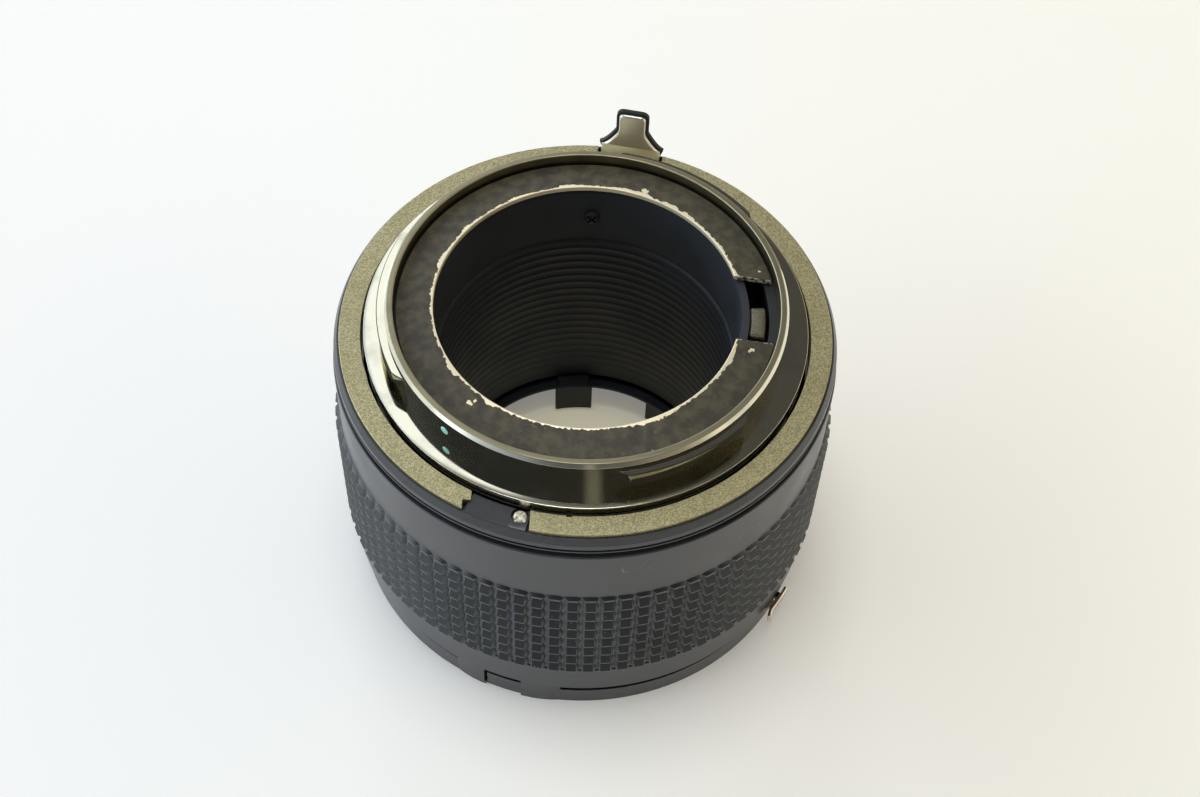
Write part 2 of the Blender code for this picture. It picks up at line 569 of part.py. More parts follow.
def inner_tube(black, steel, body):
    """Tube that carries both mounts, with three posts that reach through the drive sleeve."""
    profile = [
        (SPIGOT_OUT_R, SPIGOT_TOP_Z), (SPIGOT_OUT_R, TOP_FLANGE_Z), (TOP_FLANGE_R, TOP_FLANGE_Z),
        (TOP_FLANGE_R, TOP_FLANGE_FOOT_Z), (INNER_OUT_R, TOP_FLANGE_FOOT_Z),
        (INNER_OUT_R, FOOT_FLANGE_TOP_Z), (FOOT_FLANGE_R, FOOT_FLANGE_TOP_Z),
        (FOOT_FLANGE_R, FOOT_FLANGE_Z), (INNER_IN_R, FOOT_FLANGE_Z), (INNER_IN_R, TOP_FLANGE_FOOT_Z),
        (SPIGOT_IN_R, TOP_FLANGE_FOOT_Z), (SPIGOT_IN_R, SPIGOT_TOP_Z),
    ]
    tube = turned("inner_tube", profile, black, body, INNER_FACETS)
    post_end = BARREL_IN_R - FIT
    for number, azimuth in enumerate(POST_AZ, 1):
        post = rod(f"post_{number}", polar(INNER_OUT_R - INNER_T / 2, azimuth, POST_Z),
                   polar(post_end, azimuth, POST_Z), POST_R)
        shape(tube, cutter(f"post_{number}", post), "UNION")
        depth = polar(GRIP_SEAT_R - POST_SCREW_L - FIT, azimuth, POST_Z)
        tapping = rod(f"post_tapping_{number}", depth, polar(BARREL_R, azimuth, POST_Z),
                      POST_SCREW_R + THREAD_GAP)
        shape(tube, cutter(f"post_tapping_{number}", tapping))
    tongue_half = degrees(LEVER_HALF / CARRIER_IN_R)
    relief = sector("lever_relief", SPIGOT_IN_R - 2 * FIT, LEVER_OUT_R + FIT, TOP_FLANGE_FOOT_Z - 2 * FIT,
                    SPIGOT_TOP_Z + FIT, LEVER_AZ - tongue_half - LEVER_MARGIN,
                    LEVER_AZ + tongue_half + STOP_TRAVEL + LEVER_MARGIN)
    shape(tube, cutter("lever_relief", relief))
    for number, azimuth in enumerate(BAFFLE_SCREW_AZ, 1):
        hole = rod(f"spigot_hole_{number}", polar(SPIGOT_IN_R - FIT, azimuth, BAFFLE_SCREW_Z),
                   polar(SPIGOT_OUT_R + FIT, azimuth, BAFFLE_SCREW_Z), BAFFLE_SCREW_R + THREAD_GAP)
        shape(tube, cutter(f"spigot_hole_{number}", hole))
    for number, azimuth in enumerate(BAYONET_SCREW_AZ, 1):
        hole = rod(f"flange_hole_{number}", polar(BAYONET_SCREW_PCR, azimuth, TOP_FLANGE_FOOT_Z - FIT),
                   polar(BAYONET_SCREW_PCR, azimuth, TOP_FLANGE_Z + FIT), BAYONET_SCREW_R + THREAD_GAP)
        shape(tube, cutter(f"flange_hole_{number}", hole))
    for number, azimuth in enumerate(MOUNT_SCREW_AZ, 1):
        hole = rod(f"mount_tapping_{number}", polar(MOUNT_SCREW_PCR, azimuth, FOOT_FLANGE_Z - FIT),
                   polar(MOUNT_SCREW_PCR, azimuth, FOOT_FLANGE_TOP_Z + FIT), MOUNT_SCREW_R + THREAD_GAP)
        shape(tube, cutter(f"mount_tapping_{number}", hole))
    pivot_hole = rod("pivot_hole", polar(PIVOT_R, PIVOT_AZ, FOOT_FLANGE_Z - FIT),
                     polar(PIVOT_R, PIVOT_AZ, FOOT_FLANGE_TOP_Z + FIT), PIVOT_PIN_R + THREAD_GAP)
    shape(tube, cutter("pivot_hole", pivot_hole))
    post_hole = rod("release_post_hole", polar(RELEASE_POST_PCR, RELEASE_POST_AZ, FOOT_FLANGE_Z - FIT),
                    polar(RELEASE_POST_PCR, RELEASE_POST_AZ, FOOT_FLANGE_TOP_Z + FIT),
                    RELEASE_POST_R + THREAD_GAP)
    shape(tube, cutter("release_post_hole", post_hole))
    pin_half = degrees((CARRIER_PIN_R + FIT) / INNER_IN_R)
    slot = sector("carrier_pin_slot", INNER_IN_R - FIT, INNER_OUT_R + FIT,
                  CARRIER_PIN_Z - CARRIER_PIN_R - FIT, CARRIER_PIN_Z + CARRIER_PIN_R + FIT,
                  CARRIER_PIN_AZ - pin_half, CARRIER_PIN_AZ + pin_half + STOP_TRAVEL)
    shape(tube, cutter("carrier_pin_slot", slot))
    spring_hole = rod("spring_post_hole", polar(INNER_IN_R - FIT, SPRING_POST_AZ, CARRIER_PIN_Z),
                      polar(INNER_OUT_R + FIT, SPRING_POST_AZ, CARRIER_PIN_Z), CARRIER_PIN_R + THREAD_GAP)
    shape(tube, cutter("spring_post_hole", spring_hole))
    for number, azimuth in enumerate(POST_AZ, 1):
        head = polar(GRIP_SEAT_R - THREAD_GAP, azimuth, POST_Z)
        cone_end = polar(GRIP_SEAT_R - THREAD_GAP - (POST_SCREW_HEAD_R - POST_SCREW_R), azimuth, POST_Z)
        stepped_rod(f"barrel_screw_{number}",
                    [(polar(GRIP_SEAT_R - POST_SCREW_L, azimuth, POST_Z), POST_SCREW_R),
                     (cone_end, POST_SCREW_R), (head, POST_SCREW_HEAD_R)], steel, body)


def barrel_shell(black, body):
    """Outer barrel: lip, black groove, smooth band, seat for the grip, and foot band."""
    lip_r = BARREL_R - LIP_INSET
    groove_r = BARREL_R - GROOVE_DEPTH
    lip_foot = BARREL_TOP_Z - LIP_T
    band_top = lip_foot - GROOVE_H
    bore_step = SLEEVE_TOP_Z - COLLAR_T - FIT
    foot_step = BARREL_FOOT + FOOT_BORE_H
    profile = [
        (lip_r, BARREL_TOP_Z), (lip_r, lip_foot), (groove_r, lip_foot), (groove_r, band_top),
        (BARREL_R - BARREL_EDGE, band_top), (BARREL_R, band_top - BARREL_EDGE),
        (BARREL_R, GRIP_Z[1]), (GRIP_SEAT_R, GRIP_Z[1]), (GRIP_SEAT_R, GRIP_Z[0]),
        (BARREL_R, GRIP_Z[0]), (BARREL_R, BARREL_FOOT), (FOOT_BORE_R, BARREL_FOOT),
        (FOOT_BORE_R, foot_step), (BARREL_IN_R, foot_step), (BARREL_IN_R, bore_step),
        (TOP_BORE_R, bore_step), (TOP_BORE_R, BARREL_TOP_Z),
    ]
    barrel = turned("barrel_shell", profile, black, body)
    head_depth = POST_SCREW_HEAD_R - POST_SCREW_R
    for number, azimuth in enumerate(POST_AZ, 1):
        outer = polar(GRIP_SEAT_R + FIT, azimuth, POST_Z)
        cone_foot = polar(GRIP_SEAT_R - THREAD_GAP - head_depth, azimuth, POST_Z)
        hole = bar(f"barrel_hole_{number}",
                   [(polar(BARREL_IN_R - FIT, azimuth, POST_Z), POST_SCREW_R + THREAD_GAP),
                    (cone_foot, POST_SCREW_R + THREAD_GAP),
                    (outer, POST_SCREW_HEAD_R + 2 * THREAD_GAP + FIT)])
        shape(barrel, cutter(f"barrel_hole_{number}", hole))


def rubber_grip(rubber, body):
    """Band of knobs, one pyramid for each: every cell of the outer skin is raised at its middle."""
    low, high = GRIP_Z[0] + FIT, GRIP_Z[1] - FIT
    bore_r = GRIP_SEAT_R + FIT
    outer = [(GRIP_VALLEY_R, high - (high - low) * i / GRIP_ROWS) for i in range(GRIP_ROWS + 1)]
    source = turned("rubber_grip_blank", outer + [(bore_r, low), (bore_r, high)], rubber, body,
                    GRIP_COLUMNS)
    mesh = evaluated_mesh(source, "rubber_grip")
    mesh.materials.clear()
    skin = bmesh.new()
    skin.from_mesh(mesh)
    near = GRIP_VALLEY_R * cos(pi / GRIP_COLUMNS) - FIT
    cells = [face for face in skin.faces if all(v.co.to_2d().length > near for v in face.verts)]
    bmesh.ops.poke(skin, faces=cells, offset=KNOB_H, center_mode="MEAN")
    skin.to_mesh(mesh)
    skin.free()
    place("rubber_grip", mesh, rubber, body)


def lens_mount(chrome, steel, body):
    """Bayonet socket for the lens, with bosses, screws and a leaf spring behind each lug."""
    profile = [(SEAT_R, MOUNT_TOP_Z), (SEAT_R, SEAT_Z), (THROAT_R, SEAT_Z), (THROAT_R, MOUNT_TOP_Z)]
    mount = turned("lens_mount_ring", profile, chrome, body)
    for number, (start, end) in enumerate(THROAT_LUGS, 1):
        lug = sector(f"throat_lug_{number}", THROAT_LUG_R, THROAT_R + FIT, SEAT_Z,
                     SEAT_Z + THROAT_LUG_T, start, end)
        shape(mount, cutter(f"throat_lug_{number}", lug), "UNION")
        leaf_z = SEAT_Z + THROAT_LUG_T + FIT
        leaf = sector(f"leaf_spring_{number}", THROAT_R - FIT - LEAF_W, THROAT_R - FIT, leaf_z,
                      leaf_z + LEAF_T, start + LEAF_INSET, end - LEAF_INSET)
        place(f"leaf_spring_{number}", leaf, steel, body)
    for number, azimuth in enumerate(MOUNT_SCREW_AZ, 1):
        boss = rod(f"mount_boss_{number}", polar(MOUNT_SCREW_PCR, azimuth, MOUNT_TOP_Z - FIT),
                   polar(MOUNT_SCREW_PCR, azimuth, FOOT_FLANGE_Z - FIT), MOUNT_BOSS_R)
        shape(mount, cutter(f"mount_boss_{number}", boss), "UNION")
    for number, azimuth in enumerate(MOUNT_SCREW_AZ, 1):
        head_top = polar(MOUNT_SCREW_PCR, azimuth, SEAT_Z + MOUNT_SCREW_HEAD_H)
        sink_top = head_top + Vector((0, 0, THREAD_GAP))
        hole = bar(f"mount_hole_{number}",
                   [(polar(MOUNT_SCREW_PCR, azimuth, FOOT_FLANGE_Z), MOUNT_SCREW_R + THREAD_GAP),
                    (sink_top, MOUNT_SCREW_R + THREAD_GAP), (sink_top, MOUNT_SCREW_HEAD_R + THREAD_GAP),
                    (polar(MOUNT_SCREW_PCR, azimuth, SEAT_Z - FIT), MOUNT_SCREW_HEAD_R + THREAD_GAP)])
        shape(mount, cutter(f"mount_hole_{number}", hole))
        stepped_rod(f"lens_mount_screw_{number}",
                    [(polar(MOUNT_SCREW_PCR, azimuth, FOOT_FLANGE_TOP_Z), MOUNT_SCREW_R),
                     (head_top, MOUNT_SCREW_R), (head_top, MOUNT_SCREW_HEAD_R),
                     (polar(MOUNT_SCREW_PCR, azimuth, SEAT_Z), MOUNT_SCREW_HEAD_R)], steel, body)
    pawl = polar(1.0, PAWL_AZ).to_2d()
    side = Vector((-pawl.y, pawl.x)) * (PAWL_R + RELEASE_GAP)
    near, far = pawl * (PAWL_PCR - PAWL_R - RELEASE_GAP - FIT), pawl * (SEAT_R + FIT)
    outline = [near - side, far - side, far + side, near + side]
    slot = extruded("pawl_slot", outline, SEAT_Z - FIT, MOUNT_TOP_Z + FIT)
    shape(mount, cutter("pawl_slot", slot))


def end_plate(black, body):
    """Sheet baffle at the lens end, with one tongue bent down into the throat."""
    foot = END_PLATE_TOP_Z - END_PLATE_T
    profile = [(END_PLATE_R, END_PLATE_TOP_Z), (END_PLATE_R, foot), (END_PLATE_BORE_R, foot),
               (END_PLATE_BORE_R, END_PLATE_TOP_Z)]
    plate = turned("end_baffle", profile, black, body, INNER_FACETS)
    tongue = sector("end_tongue", END_PLATE_BORE_R + END_TONGUE_GAP, END_PLATE_BORE_R + FINGER_T,
                    FINGER_FOOT_Z, END_PLATE_TOP_Z - END_PLATE_T / 2, *END_TONGUE_AZ)
    shape(plate, cutter("end_tongue", tongue), "UNION")


def stop_down_carrier(black, olive, steel, body, carrier_body):
    """Thin turning tube with a lever at the camera end and a finger at the lens end."""
    profile = [(CARRIER_OUT_R, CARRIER_TOP_Z), (CARRIER_OUT_R, CARRIER_FOOT_Z),
               (CARRIER_IN_R, CARRIER_FOOT_Z), (CARRIER_IN_R, CARRIER_TOP_Z)]
    carrier = turned("stop_down_carrier", profile, black, carrier_body, INNER_FACETS)
    half = degrees(LEVER_HALF / CARRIER_IN_R)
    lever_top = RIM_Z - LEVER_TOP_DROP
    tongue = sector("carrier_tongue", CARRIER_IN_R, CARRIER_OUT_R, CARRIER_TOP_Z - LEVER_H,
                    lever_top - LEVER_H - FIT, LEVER_AZ - half, LEVER_AZ + half)
    shape(carrier, cutter("carrier_tongue", tongue), "UNION")
    lever = sector("stop_down_lever", CARRIER_IN_R, LEVER_OUT_R, lever_top - LEVER_H, lever_top,
                   LEVER_AZ - half, LEVER_AZ + half)
    place("stop_down_lever", lever, olive, carrier_body)
    finger_half = degrees(FINGER_HALF / END_PLATE_BORE_R)
    finger_out = END_PLATE_BORE_R - FIT
    finger = sector("stop_down_finger", finger_out - FINGER_T, finger_out, FINGER_FOOT_Z,
                    CARRIER_FOOT_Z + FINGER_T, FINGER_AZ - finger_half, FINGER_AZ + finger_half)
    arm = sector("finger_arm", finger_out - FINGER_T / 2, CARRIER_IN_R - FIT, CARRIER_FOOT_Z,
                 CARRIER_FOOT_Z + FINGER_T, FINGER_AZ - 0.8 * finger_half,
                 FINGER_AZ + 0.8 * finger_half)
    piece = place("stop_down_finger", finger, black, carrier_body)
    shape(piece, cutter("finger_arm", arm), "UNION")
    hole = rod("carrier_pin_hole", polar(CARRIER_IN_R - FIT, CARRIER_PIN_AZ, CARRIER_PIN_Z),
               polar(CARRIER_OUT_R + FIT, CARRIER_PIN_AZ, CARRIER_PIN_Z), CARRIER_PIN_R + THREAD_GAP)
    shape(carrier, cutter("carrier_pin_hole", hole))
    pin_out_r = INNER_OUT_R + PIN_REACH
    spring_r = INNER_OUT_R + SPRING_OFFSET
    stepped_rod("carrier_pin", [(polar(CARRIER_IN_R, CARRIER_PIN_AZ, CARRIER_PIN_Z), CARRIER_PIN_R),
                                (polar(pin_out_r, CARRIER_PIN_AZ, CARRIER_PIN_Z), CARRIER_PIN_R)],
                steel, carrier_body)
    stepped_rod("spring_post", [(polar(INNER_IN_R, SPRING_POST_AZ, CARRIER_PIN_Z), CARRIER_PIN_R),
                                (polar(pin_out_r, SPRING_POST_AZ, CARRIER_PIN_Z), CARRIER_PIN_R)],
                steel, body)
    reach = degrees((CARRIER_PIN_R + FIT + SPRING_WIRE_R) / spring_r)
    coil("stop_down_spring", polar(spring_r, SPRING_POST_AZ + reach, CARRIER_PIN_Z),
         polar(spring_r, CARRIER_PIN_AZ - reach, CARRIER_PIN_Z), SPRING_COIL_R, SPRING_WIRE_R,
         SPRING_TURNS, steel, body)


def aperture_rings(black, olive, steel, turning):
    """Ring and sand-blasted plate at the camera end, sleeve, and coupling ring at the lens end."""
    profile = [
        (PLATE_OUT_R, RING_Z), (RING_R, RING_Z - RING_BEVEL), (RING_R, RING_EDGE_Z),
        (RING_STEP_R, RING_EDGE_Z), (RING_STEP_R, RING_FOOT_Z), (RING_IN_R, RING_FOOT_Z),
        (RING_IN_R, RING_Z),
    ]
    ring = turned("rear_ring", profile, black, turning)
    ridge = sector("coupling_ridge", RING_IN_R + RIDGE_INSET, PLATE_OUT_R - RIDGE_INSET, RING_Z - FIT,
                   RING_Z + RIDGE_H, *RIDGE_AZ)
    shape(ring, cutter("coupling_ridge", ridge), "UNION")
    plate_foot = PLATE_Z - PLATE_T
    plate = turned("rear_plate", [(PLATE_OUT_R, PLATE_Z), (PLATE_OUT_R, plate_foot),
                                  (PLATE_IN_R, plate_foot), (PLATE_IN_R, PLATE_Z)], olive, turning)
    reach = RING_R + RING_MARGIN
    middle_r = (PLATE_IN_R + PLATE_OUT_R) / 2
    cut_z = (plate_foot - FIT, PLATE_Z + FIT)
    notch_x = [polar(middle_r, azimuth).x for azimuth in NOTCH_AZ]
    notch = box("plate_notch", notch_x, (-reach, -SPIGOT_OUT_R), cut_z)
    shape(plate, cutter("plate_notch", notch))
    step_x = notch_x[0] - NOTCH_STEP_W
    step_y = -sqrt((PLATE_OUT_R - NOTCH_STEP_DEPTH) ** 2 - step_x ** 2)
    step = box("plate_notch_step", (step_x, notch_x[0] + FIT), (-reach, step_y), cut_z)
    shape(plate, cutter("plate_notch_step", step))
    nick_ends = [polar(PLATE_IN_R, NICK_AZ, z) for z in cut_z]
    nick = rod("plate_nick", *nick_ends, NICK_R)
    shape(plate, cutter("plate_nick", nick))
    seat_half = CLAW_FOOT_HALF + 2 * FIT
    foot_in_r = CLAW_FACE_R - CLAW_T - CLAW_FOOT_L
    seat = box("claw_seat", (foot_in_r - FIT, reach), (-seat_half, seat_half), cut_z)
    seat.transform(Matrix.Rotation(radians(CLAW_AZ), 4, "Z"))
    shape(plate, cutter("claw_seat", seat))

    collar_foot = SLEEVE_TOP_Z - COLLAR_T
    sleeve_profile = [
        (TOP_COLLAR_R, SLEEVE_TOP_Z), (TOP_COLLAR_R, collar_foot), (SLEEVE_OUT_R, collar_foot),
        (SLEEVE_OUT_R, SLEEVE_FOOT_Z + COLLAR_T), (COUPLING_COLLAR_R, SLEEVE_FOOT_Z + COLLAR_T),
        (COUPLING_COLLAR_R, SLEEVE_FOOT_Z), (SLEEVE_IN_R, SLEEVE_FOOT_Z), (SLEEVE_IN_R, collar_foot),
        (RING_IN_R, collar_foot), (RING_IN_R, SLEEVE_TOP_Z),
    ]
    sleeve = turned("drive_sleeve", sleeve_profile, steel, turning, INNER_FACETS)
    post_half = degrees((POST_R + RUN_GAP) / SLEEVE_IN_R)
    for number, azimuth in enumerate(POST_AZ, 1):
        slot = sector(f"sleeve_slot_{number}", SLEEVE_IN_R - FIT, SLEEVE_OUT_R + FIT,
                      POST_Z - POST_R - RUN_GAP, POST_Z + POST_R + RUN_GAP,
                      azimuth - post_half - SLOT_TRAVEL, azimuth + post_half)
        shape(sleeve, cutter(f"sleeve_slot_{number}", slot))
    for number, azimuth in enumerate(RING_SCREW_AZ, 1):
        shows = number == 1
        hole_r, head_r = RING_SCREW_R + THREAD_GAP, RING_SCREW_HEAD_R + THREAD_GAP
        sink_floor = RING_Z - FLUSH_HEAD_H
        stations = [(polar(RING_SCREW_PCR, azimuth, RING_Z + FIT), hole_r)]
        if not shows:
            stations = [(polar(RING_SCREW_PCR, azimuth, RING_Z + FIT), head_r),
                        (polar(RING_SCREW_PCR, azimuth, sink_floor), head_r),
                        (polar(RING_SCREW_PCR, azimuth, sink_floor), hole_r)]
        stations.append((polar(RING_SCREW_PCR, azimuth, RING_FOOT_Z - FIT), hole_r))
        shape(ring, cutter(f"ring_hole_{number}", bar(f"ring_hole_{number}", stations)))
        tapping = rod(f"collar_tapping_{number}", polar(RING_SCREW_PCR, azimuth, collar_foot - FIT),
                      polar(RING_SCREW_PCR, azimuth, SLEEVE_TOP_Z + FIT), RING_SCREW_R + THREAD_GAP)
        shape(sleeve, cutter(f"collar_tapping_{number}", tapping))
        head_foot = RING_Z + THREAD_GAP if shows else sink_floor + THREAD_GAP
        head_top = head_foot + (RING_SCREW_HEAD_H if shows else FLUSH_HEAD_H - THREAD_GAP)
        stepped_rod(f"ring_screw_{number}",
                    [(polar(RING_SCREW_PCR, azimuth, head_top), RING_SCREW_HEAD_R),
                     (polar(RING_SCREW_PCR, azimuth, head_foot), RING_SCREW_HEAD_R),
                     (polar(RING_SCREW_PCR, azimuth, head_foot), RING_SCREW_R),
                     (polar(RING_SCREW_PCR, azimuth, collar_foot + FIT), RING_SCREW_R)],
                    steel, turning)
    coupling_ring(black, steel, sleeve, turning)


def coupling_ring(black, steel, sleeve, turning):
    """Follower ring at the lens end, stepped at its foot, with room on top for the release."""
    profile = [
        (COUPLING_COLLAR_R, COLLAR_TOP_Z), (COUPLING_COLLAR_R, COUPLING_TOP_Z),
        (COUPLING_R, COUPLING_TOP_Z), (COUPLING_R, 0.0), (COUPLING_IN_R, 0.0),
        (COUPLING_IN_R, SLOT_FLOOR_Z), (SLEEVE_IN_R, SLOT_FLOOR_Z), (SLEEVE_IN_R, COLLAR_TOP_Z),
    ]
    ring = turned("coupling_ring", profile, black, turning)
    for number, (start, end) in enumerate(PAD_AZ, 1):
        pad = sector(f"ring_pad_{number}", COUPLING_R - FIT, COUPLING_R + PAD_REACH, 0.0,
                     SLOT_FLOOR_Z, start, end)
        shape(ring, cutter(f"ring_pad_{number}", pad), "UNION")
    past = COUPLING_R + 2 * PAD_REACH
    slot = sector("release_slot", SLEEVE_IN_R - FIT, past, SLOT_FLOOR_Z, COLLAR_TOP_Z + FIT, *SLOT_AZ)
    shape(ring, cutter("release_slot", slot))
    step = sector("foot_step", COUPLING_IN_R - FIT, past, -FIT, STEP_H, *STEP_AZ)
    shape(ring, cutter("foot_step", step))
    slit_half = degrees(SLIT_W / COUPLING_R) / 2
    slit = sector("foot_slit", COUPLING_IN_R - FIT, past, STEP_H - FIT, SLIT_H,
                  STEP_AZ[0] - slit_half, STEP_AZ[0] + slit_half)
    shape(ring, cutter("foot_slit", slit))
    for number, azimuth in enumerate(COLLAR_SCREW_AZ, 1):
        tip = polar(COLLAR_SCREW_PCR, azimuth, SLEEVE_FOOT_Z + COLLAR_T)
        head_z = SLOT_FLOOR_Z
        sink_top = polar(COLLAR_SCREW_PCR, azimuth, head_z + THREAD_GAP)
        hole_r, sink_r = COLLAR_SCREW_R + THREAD_GAP, COLLAR_SCREW_HEAD_R + THREAD_GAP
        hole = bar(f"collar_hole_{number}",
                   [(tip + Vector((0, 0, FIT)), hole_r), (sink_top, hole_r), (sink_top, sink_r),
                    (polar(COLLAR_SCREW_PCR, azimuth, -FIT), sink_r)])
        shape(ring, cutter(f"collar_hole_{number}", hole))
        shape(sleeve, cutter(f"foot_tapping_{number}", hole.copy()))
        stepped_rod(f"collar_screw_{number}",
                    [(tip, COLLAR_SCREW_R), (polar(COLLAR_SCREW_PCR, azimuth, head_z), COLLAR_SCREW_R),
                     (polar(COLLAR_SCREW_PCR, azimuth, head_z), COLLAR_SCREW_HEAD_R),
                     (polar(COLLAR_SCREW_PCR, azimuth, head_z - SLOT_DEPTH), COLLAR_SCREW_HEAD_R)],
                    steel, turning)


def claw_outline(base, inset):
    """Narrow head on a wide foot, drawn in the upright's own plane above its base."""
    top, corner = CLAW_TOP - inset, CLAW_CORNER - inset
    half, wing = CLAW_TOP_HALF - inset, CLAW_WING_HALF - inset
    right = [(CLAW_FOOT_HALF - inset, base), (wing, CLAW_WING_Z - inset / 2)]
    for step in range(1, 5):
        share = step / 5
        right.append((wing + (half - wing) * share ** 0.8,
                      CLAW_WING_Z + (CLAW_NECK_Z - CLAW_WING_Z) * share ** 1.15))
    right.append((half, CLAW_NECK_Z))
    for step in range(4):
        angle = pi / 2 * step / 3
        right.append((half - corner + corner * cos(angle), top - corner + corner * sin(angle)))
    return right + [(-x, z) for x, z in reversed(right)]


def coupling_claw(nickel, turning):
    """Pressed claw: foot in the plate's recess, and an upright plate with its rim turned out."""
    foot_z = PLATE_Z - PLATE_T
    inner_r = CLAW_FACE_R - CLAW_T
    upright = extruded("claw_upright", claw_outline(CLAW_T / 2, 0.0), 0.0, CLAW_DEPTH)
    pocket = extruded("claw_pocket", claw_outline(CLAW_T + CLAW_RIM, CLAW_RIM), CLAW_T, CLAW_DEPTH + FIT)
    foot_half = CLAW_FOOT_HALF - CLAW_FOOT_INSET
    foot = extruded("claw_foot", [(-foot_half, 0.0), (foot_half, 0.0), (foot_half, CLAW_T),
                                  (-foot_half, CLAW_T)],
                    -CLAW_FOOT_L, CLAW_DEPTH - CLAW_FOOT_INSET)
    stand = Matrix.Rotation(radians(90), 4, "Z") @ Matrix.Rotation(radians(90), 4, "X")
    set_up = Matrix.Rotation(radians(CLAW_AZ), 4, "Z") @ Matrix.Translation((inner_r, 0, foot_z)) @ stand
    for mesh in (upright, pocket, foot):
        mesh.transform(set_up)
    claw = place("coupling_claw", upright, nickel, turning)
    shape(claw, cutter("claw_pocket", pocket))
    shape(claw, cutter("claw_foot", foot), "UNION")


def strip(start, end, half_width):
    """Corners of a straight strip of sheet between two points of the plan."""
    side = (end - start).normalized().orthogonal() * half_width
    return [start + side, start - side, end - side, end + side]


def lens_release(nickel, steel, body, release):
    """Flat rocker: the tab pressed inwards swings the pawl out of the lens flange's notch."""
    pivot, pawl = polar(PIVOT_R, PIVOT_AZ), polar(PAWL_PCR, PAWL_AZ)
    z_low, z_high = RELEASE_Z, RELEASE_Z + RELEASE_T
    tab_middle = sum(TAB_AZ) / 2
    elbow = polar(COUPLING_IN_R - ARM_W / 2, tab_middle)
    tab_root = polar((TAB_IN_R + TAB_OUT_R) / 2, tab_middle)
    pawl_end = pawl + (pawl - pivot).normalized() * PAWL_ARM_HALF

    tab = sector("release_lever", TAB_IN_R, TAB_OUT_R, z_low, z_high, *TAB_AZ)
    lever = place("release_lever", tab, nickel, release)
    arms = (("tab_arm", elbow, tab_root, ARM_W / 2), ("long_arm", pivot, elbow, ARM_W / 2),
            ("pawl_arm", pivot, pawl_end, PAWL_ARM_HALF))
    for name, start, end, half_width in arms:
        arm = extruded(name, strip(start.to_2d(), end.to_2d(), half_width), z_low, z_high)
        shape(lever, cutter(name, arm), "UNION")
    rounds = (("elbow_round", elbow, ELBOW_R), ("release_eye", pivot, PIVOT_EYE_R))
    for name, centre, radius in rounds:
        disc = rod(name, centre + Vector((0, 0, z_high)), centre + Vector((0, 0, z_low)), radius,
                   EYE_FACETS)
        shape(lever, cutter(name, disc), "UNION")
    lip = sector("tab_lip", TAB_OUT_R - TAB_LIP_T, TAB_OUT_R, z_low - TAB_LIP_H, z_low + RELEASE_T / 2,
                 *TAB_AZ)
    shape(lever, cutter("tab_lip", lip), "UNION")
    for name, centre, radius in (("release_bore", pivot, PIVOT_PIN_R), ("pawl_hole", pawl, PAWL_NECK_R)):
        hole = rod(name, centre + Vector((0, 0, z_high + FIT)), centre + Vector((0, 0, z_low - FIT)),
                   radius + THREAD_GAP, EYE_FACETS)
        shape(lever, cutter(name, hole))

    under = z_low - THREAD_GAP
    stepped_rod("lock_pawl", [(polar(PAWL_PCR, PAWL_AZ, z_high), PAWL_NECK_R),
                              (polar(PAWL_PCR, PAWL_AZ, under), PAWL_NECK_R),
                              (polar(PAWL_PCR, PAWL_AZ, under), PAWL_R),
                              (polar(PAWL_PCR, PAWL_AZ, PAWL_TIP_Z), PAWL_R)], steel, release)
    stepped_rod("release_pivot", [(polar(PIVOT_R, PIVOT_AZ, FOOT_FLANGE_TOP_Z), PIVOT_PIN_R),
                                  (polar(PIVOT_R, PIVOT_AZ, under), PIVOT_PIN_R),
                                  (polar(PIVOT_R, PIVOT_AZ, under), PIVOT_EYE_R),
                                  (polar(PIVOT_R, PIVOT_AZ, MOUNT_TOP_Z + THREAD_GAP), PIVOT_EYE_R)],
                steel, body)
    stepped_rod("release_post",
                [(polar(RELEASE_POST_PCR, RELEASE_POST_AZ, FOOT_FLANGE_TOP_Z), RELEASE_POST_R),
                 (polar(RELEASE_POST_PCR, RELEASE_POST_AZ, z_low - RELEASE_GAP), RELEASE_POST_R)],
                steel, body)
    release_spring(steel, body, pivot, elbow)


def release_spring(steel, body, pivot, elbow):
    """Wire bent round its post, clear of the lever even with the tab pressed right in."""
    lift = Vector((0, 0, RELEASE_Z + RELEASE_T / 2))
    post = polar(RELEASE_POST_PCR, RELEASE_POST_AZ) + lift
    wrap_r = RELEASE_POST_R + THREAD_GAP + RELEASE_SPRING_R
    along = (elbow - pivot).normalized()
    inward = Vector((-along.y, along.x, 0.0))
    reach = (elbow - pivot).length / 2
    swing = reach * radians(RELEASE_TRAVEL)
    touch = pivot + along * reach + inward * (ARM_W / 2 + swing + FIT + RELEASE_SPRING_R) + lift
    leg = (touch - post).normalized()
    leave = atan2(leg.y, leg.x) - pi / 2
    wrap = radians(RELEASE_SPRING_WRAP)
    angles = [leave - wrap * (1 - step / 6) for step in range(7)]
    points = [post + Vector((cos(angle), sin(angle), 0.0)) * wrap_r for angle in angles]
    points.append(touch)
    wire_piece("release_spring", points, RELEASE_SPRING_R, steel, body)


